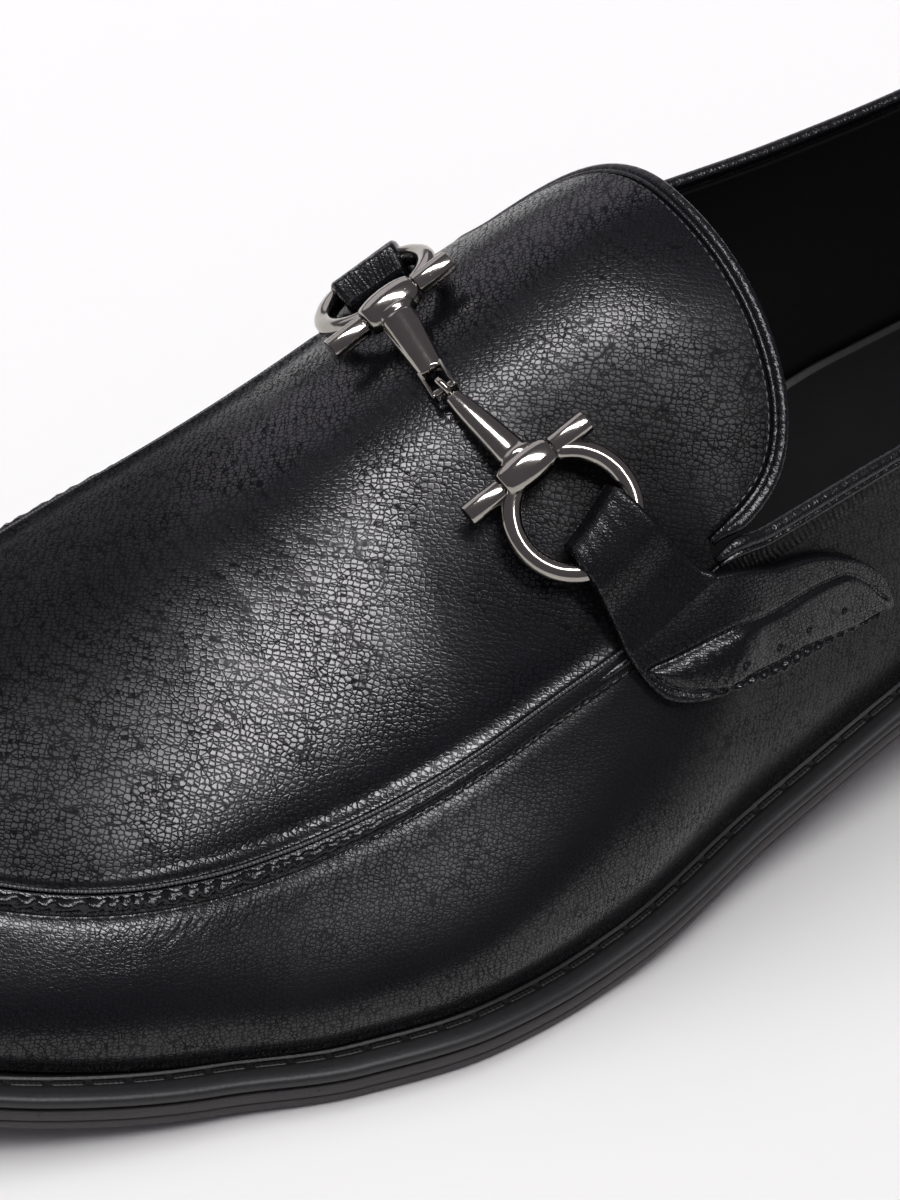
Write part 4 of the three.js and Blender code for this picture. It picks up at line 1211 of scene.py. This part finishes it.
def ring_part(name, frame_of):
    """The horseshoe ring: a bevelled section carried round, its ends kinked in to the bar"""
    side = frame_of["side"]
    steps = 120
    open_half = math.radians(29)
    angle = np.linspace(open_half, 2 * math.pi - open_half, steps + 1)
    x, y = RING_RADIUS * np.sin(angle), -RING_RADIUS * np.cos(angle)
    lead = np.array([[3.7, -9.1], [3.75, -8.6], [3.95, -8.1]])
    tail = lead[::-1] * (-1, 1)
    track = np.concatenate([lead, np.stack([x, y], 1), tail])
    fine = np.linspace(0, 1, 220)
    run = np.concatenate([[0], np.cumsum(np.linalg.norm(np.diff(track, axis=0), axis=1))])
    track = np.stack([np.interp(fine * run[-1], run, track[:, k]) for k in range(2)], 1)
    for _ in range(6):
        track[1:-1] = 0.25 * track[:-2] + 0.5 * track[1:-1] + 0.25 * track[2:]
    step = np.gradient(track, axis=0)
    step /= np.linalg.norm(step, axis=1, keepdims=True)
    beside = np.stack([step[:, 1], -step[:, 0]], 1)
    half = RING_WIRE / 2
    profile = np.array([(1, -0.25), (1, 0.3), (0.86, 0.62), (0.5, 0.9), (0, 1.0), (-0.55, 0.86), (-0.88, 0.5),
                        (-1, 0), (-0.85, -0.6), (-0.4, -0.92), (0.2, -0.96), (0.75, -0.7), (1, -0.25)]) * half
    grid = np.zeros((len(track), len(profile), 3))
    grid[..., :2] = track[:, None] + beside[:, None] * profile[None, :, :1]
    grid[..., 2] = profile[None, :, 1]
    ends = [np.repeat(grid[[k]].mean(1, keepdims=True), len(profile), 1) for k in (0, -1)]
    grid = np.concatenate([ends[0], grid, ends[1]])
    placed = (frame_of["ring"] + grid[..., :1] * frame_of["along"]
              + side * grid[..., 1:2] * frame_of["across"] + grid[..., 2:] * frame_of["up"])
    piece = lay(name, placed)
    bpy.ops.object.shade_smooth_by_angle(angle=math.radians(40))
    return piece


def cheek(name, frame_of):
    """A ring with the bar across it: two cylinders on a thin pin"""
    parts = [ring_part(name + "_ring", frame_of)]
    bar_radius = 1.75
    inner_end = 4.75
    ends = [(-CHEEK_BAR / 2, -inner_end), (inner_end, CHEEK_BAR / 2)]
    for i, (start, end) in enumerate(ends):
        parts.append(turned(f"{name}_end_{i}", cheek_rows(start, end, bar_radius)))
    parts.append(turned(name + "_pin", [(-inner_end - 0.3, 0.8), (inner_end + 0.3, 0.8)], 16))
    for part in parts[1:]:
        place_part(part, frame_of["bar"], frame_of["across"], frame_of["up"], frame_of["along"])
    return join(name, parts)


finish_piece(cheek("cheek_outer", OUTER), BIT_METAL, "bit_metal", "bit_cheek_outer")
finish_piece(cheek("cheek_inner", INNER), BIT_METAL, "bit_metal", "bit_cheek_inner")

# %% [markdown]
# A mouth bar is a long cone that springs from a barrel on the cheek bar's pin. The barrel is
# turned across the bar, and the cone starts broad, with a soft shoulder where the two meet.
# One bar ends in a fork, and the other has a thin eye that hooks into it.

# %% Mouth bars
BAR_ROWS = table("at wide high", [
    (-1.5, 2.9, 1.5), (0.4, 3.3, 1.9), (1.6, 3.45, 2.3), (2.2, 3.3, 2.42), (2.7, 2.85, 2.3), (3.1, 2.6, 2.15),
    (4.5, 2.45, 2.05), (8, 2.15, 1.85), (12, 1.75, 1.5), (15.2, 1.2, 1.1),
])
BARREL = [(-4.45, 1.7), (-4.38, 2.0), (-4.2, 2.18), (-3.6, 2.4), (-2.7, 2.62), (-1.6, 2.78), (0, 2.86)]
BARREL += [(-z, radius) for z, radius in BARREL[-2::-1]]


def mouth_bar(name, frame_of, fork):
    way = LINK - frame_of["bar"]
    length = np.linalg.norm(way)
    way /= length
    up = frame_of["up"] - way * np.dot(frame_of["up"], way)
    up /= np.linalg.norm(up)
    beside = np.cross(way, up)
    end = length - (3.2 if fork else 2.2)
    t = np.concatenate([np.linspace(-1.5, 3, 40), np.linspace(3, 15.2, 30)[1:]])
    at = np.where(t > 3, mix(3, end, (t - 3) / 12.2), t)
    wide, high = read(BAR_ROWS, "wide", t), read(BAR_ROWS, "high", t)
    if fork:
        wide = np.where(t > 3, mix(2.9, 1.9, (t - 3) / 12.2), wide)
        high = np.where(t > 3, mix(2.3, 1.2, (t - 3) / 12.2), high)
    angles = np.linspace(0, 2 * np.pi, 41)
    square = 2.3
    cos, sin = np.cos(angles), np.sin(angles)
    across = np.sign(cos) * np.abs(cos) ** (2 / square)
    over = np.sign(sin) * np.abs(sin) ** (2 / square)
    grid = (frame_of["bar"] + at[:, None, None] * way + (wide[:, None] * across)[..., None] * beside
            + (high[:, None] * over)[..., None] * up)
    caps = [np.repeat(grid[[k]].mean(1, keepdims=True), 41, 1) for k in (0, -1)]
    body = lay(name + "_body", np.concatenate([caps[0], grid, caps[1]]))
    barrel = turned(name + "_barrel", BARREL)
    place_part(barrel, frame_of["bar"] + up * 0.1, frame_of["across"], frame_of["up"], frame_of["along"])
    if fork:
        parts = [body, barrel, *fork_arms(name, frame_of["bar"] + way * end, way, beside, up)]
    else:
        parts = [body, barrel, eye(name, LINK - way * 0.4, way, beside, up)]
    return join(name, parts)


def fork_arms(name, start, way, beside, up):
    """The two flat arms of the fork and the pin between them"""
    arms = []
    for turn in (-1, 1):
        bpy.ops.object.select_all(action="DESELECT")
        bpy.ops.mesh.primitive_cube_add(size=1)
        arm = bpy.context.object
        arm.name = f"{name}_arm_{'left' if turn < 0 else 'right'}"
        bpy.ops.object.mode_set(mode="EDIT")
        bpy.ops.transform.resize(value=(0.55, 2.1, 5.4))
        bpy.ops.transform.translate(value=(turn * 1.75, 0, 2.1))
        bpy.ops.mesh.bevel(offset=0.22, segments=3, affect="EDGES")
        bpy.ops.object.mode_set(mode="OBJECT")
        bpy.ops.object.shade_smooth_by_angle(angle=math.radians(40))
        place_part(arm, start, beside, up, way)
        arms.append(arm)
    pin = turned(name + "_pin", [(-1.9, 0.55), (1.9, 0.55)], 16)
    place_part(pin, start + way * 3.8, up, way, beside)
    return [*arms, pin]


def eye(name, centre, way, beside, up):
    """A thin eye that the fork's pin passes through"""
    bpy.ops.object.select_all(action="DESELECT")
    bpy.ops.mesh.primitive_torus_add(major_radius=1.35, minor_radius=0.6, major_segments=32,
                                     minor_segments=12)
    hoop = bpy.context.object
    hoop.name = name + "_eye"
    bpy.ops.object.shade_smooth()
    place_part(hoop, centre, way, up, beside)
    return hoop


finish_piece(mouth_bar("mouth_bar_outer", OUTER, False), BIT_METAL, "bit_metal", "bit_bar_outer")
finish_piece(mouth_bar("mouth_bar_inner", INNER, True), BIT_METAL, "bit_metal", "bit_bar_inner")

# %% [markdown]
# Each strap is folded over its ring and sewn down along the side of the shoe. It is laid on the
# skin of the upper like a sticker, and its height over the skin does the rest: high over the
# ring, and one thickness on the foot. The foot has a long pocket between two sewn lines, puffed up
# at its front end, and a chunky overcast edge below it.

# %% Straps
STRAP_LAID = table("at front front_down rear rear_down over", [
    (0, 0.5665, 0.71, 0.539, 0.655, 0.94), (0.06, 0.565, 0.76, 0.5335, 0.7, 1),
    (0.16, 0.562, 0.83, 0.526, 0.8, 0.86), (0.28, 0.558, 0.925, 0.519, 0.9, 0.34),
    (0.4, 0.554, 1.04, 0.5115, 0.985, 0.08), (0.52, 0.543, 1.19, 0.498, 1.03, 0),
    (0.64, 0.513, 1.33, 0.477, 1.063, 0), (0.76, 0.473, 1.397, 0.452, 1.105, 0),
    (0.88, 0.43, 1.447, 0.427, 1.19, 0), (0.96, 0.402, 1.485, 0.403, 1.335, 0),
    (1, 0.391, 1.492, 0.394, 1.44, 0),
])
POCKET = table("at top bottom", [  # sewn lines of the pocket, as places down the skin
    (119, 1.44, 1.475), (121.5, 1.385, 1.465), (125, 1.3, 1.453), (130, 1.225, 1.423),
    (139, 1.194, 1.368), (147.5, 1.187, 1.341), (152, 1.17, 1.33), (156.6, 1.139, 1.272),
    (160.6, 1.113, 1.202), (163.5, 1.093, 1.125), (164.5, 1.09, 1.095),
])
HOLES = [(150.7, 1.277), (143.7, 1.295), (137.1, 1.312), (129.4, 1.341)]
WALL_DOWN = 47.0  # millimetres of wall to one step down the skin


def pocket_relief(s, down):
    above = (down - read(POCKET, "top", s)) * WALL_DOWN * 0.92
    below = (read(POCKET, "bottom", s) - down) * WALL_DOWN * 0.92
    there = fade(118.6, 119.8, s) * fade(165, 164, s) * fade(1.0, 1.06, down)
    inside = np.clip(np.minimum(above, below), 0, None)
    puff = 1.15 * (1 - np.exp(-inside / 1.1)) * fade(146, 152, s)
    puff = puff + 0.28 * (1 - np.exp(-inside / 0.5)) * fade(152, 146, s)
    crumple = 0.06 * np.sin(2.4 * s + 1.9 * np.sin(0.9 * inside + 0.4 * s)) * fade(0.3, 1.2, inside)
    lines = 0.42 * np.exp(-(above / 0.42) ** 2) + 0.5 * np.exp(-(below / 0.4) ** 2)
    overcast = fade(-0.1, -0.5, below) * fade(158, 152, s)
    rope = overcast * (0.12 + 0.3 * np.sin(2 * np.pi * (s / 2.5 + below / 5.0)))
    height = there * (puff + crumple * fade(146, 152, s) - lines + rope)
    for at, deep in HOLES:
        off = np.hypot(s - at, (down - deep) * WALL_DOWN)
        height = height - 0.6 * np.exp(-(off / 0.42) ** 4)
    return height


def strap(name, side):
    steps, across_steps = 300, 56
    t = (np.linspace(0, 1, steps + 1) ** 1.1)[:, None]
    w = np.linspace(0, 1, across_steps + 1)[None]
    value = {key: read(STRAP_LAID, key, t) for key in ("front", "front_down", "rear", "rear_down", "over")}
    s = mix(value["front"], value["rear"], w) * LENGTH
    down = mix(value["front_down"], value["rear_down"], w)
    base = skin(share_at(s), np.full(s.shape, float(side)), down)
    normal = normals_of(base, False)
    normal *= np.sign(np.sum(normal * (base - np.array([JOIN, 0, 20.0])), -1, keepdims=True))
    width = np.linalg.norm(np.diff(base, axis=1), axis=-1).sum(1)[:, None]
    from_edge = np.minimum(w, 1 - w) * width
    over = BIT_LIFT + RING_WIRE / 2 + GAP + 0.9 * STRAP
    height = mix(STRAP + GAP, over, value["over"]) + 0 * w
    rounded = 0.5 * np.exp(-from_edge / 0.22)
    ripple = 0.03 * np.sin(2 * np.pi * w * width / 2.7 + 9 * t) * fade(0.16, 0.02, t)
    height = height - rounded + ripple + pocket_relief(s, down)
    nose = np.clip(t / 0.05, 0, 1)
    bulge = np.sqrt(np.clip(1 - (1 - nose) ** 2, 0, 1))
    low = mix(0.5 * (over + GAP), GAP, bulge) + 0 * w
    high = low + (height - low) * bulge
    top_face = base + normal * high[..., None]
    under = (base + normal * low[..., None])[:, ::-1][:, ::4]
    section = np.concatenate([top_face, under, top_face[:, :1]], 1)
    run = np.concatenate([[0], np.cumsum(np.linalg.norm(np.diff(base.mean(1), axis=0), axis=1))])[:, None]
    metric = np.stack(np.broadcast_arrays(run, from_edge), -1)
    edge_of = np.stack(np.broadcast_arrays(run, 0 * w[:, ::-1][:, ::4]), -1)
    section_metric = np.concatenate([metric, edge_of, metric[:, :1]], 1)
    ends = [np.repeat(section[[k]].mean(1, keepdims=True), section.shape[1], 1) for k in (0, -1)]
    section = np.concatenate([ends[0], section, ends[1]])
    section_metric = np.concatenate([section_metric[:1], section_metric, section_metric[-1:]])
    return lay(name, section, section_metric)


def raw_edge(finish, normal):
    """Fine cross wrinkles where the strap is folded over the ring"""
    run, inward = finish.along()
    fold = 1 - run.step(2.5, 6.0)
    lines = finish.noise(finish.joined(run / 5, inward / 0.5), 1.0, 2.0)
    return finish.relief(lines * fold, 0.12, normal)


STRAP_LEATHER = leather("strap_leather", size=0.55, depth=0.022, rough=0.22, crease_shade=0.8, extra=raw_edge)
finish_piece(strap("tab_outer", 1), STRAP_LEATHER, "strap_leather", "strap_outer")
finish_piece(strap("tab_inner", -1), STRAP_LEATHER, "strap_leather", "strap_inner")

# %% [markdown]
# The floor is a pale, matt sheet. It stays plain, so that nothing competes with the shoe.

# %% Floor finish
paper = Finish("pale_floor")
floor.data.materials.append(paper.wear(Base_Color=(0.925, 0.92, 0.91), Roughness=0.9, Specular_IOR_Level=0.1))
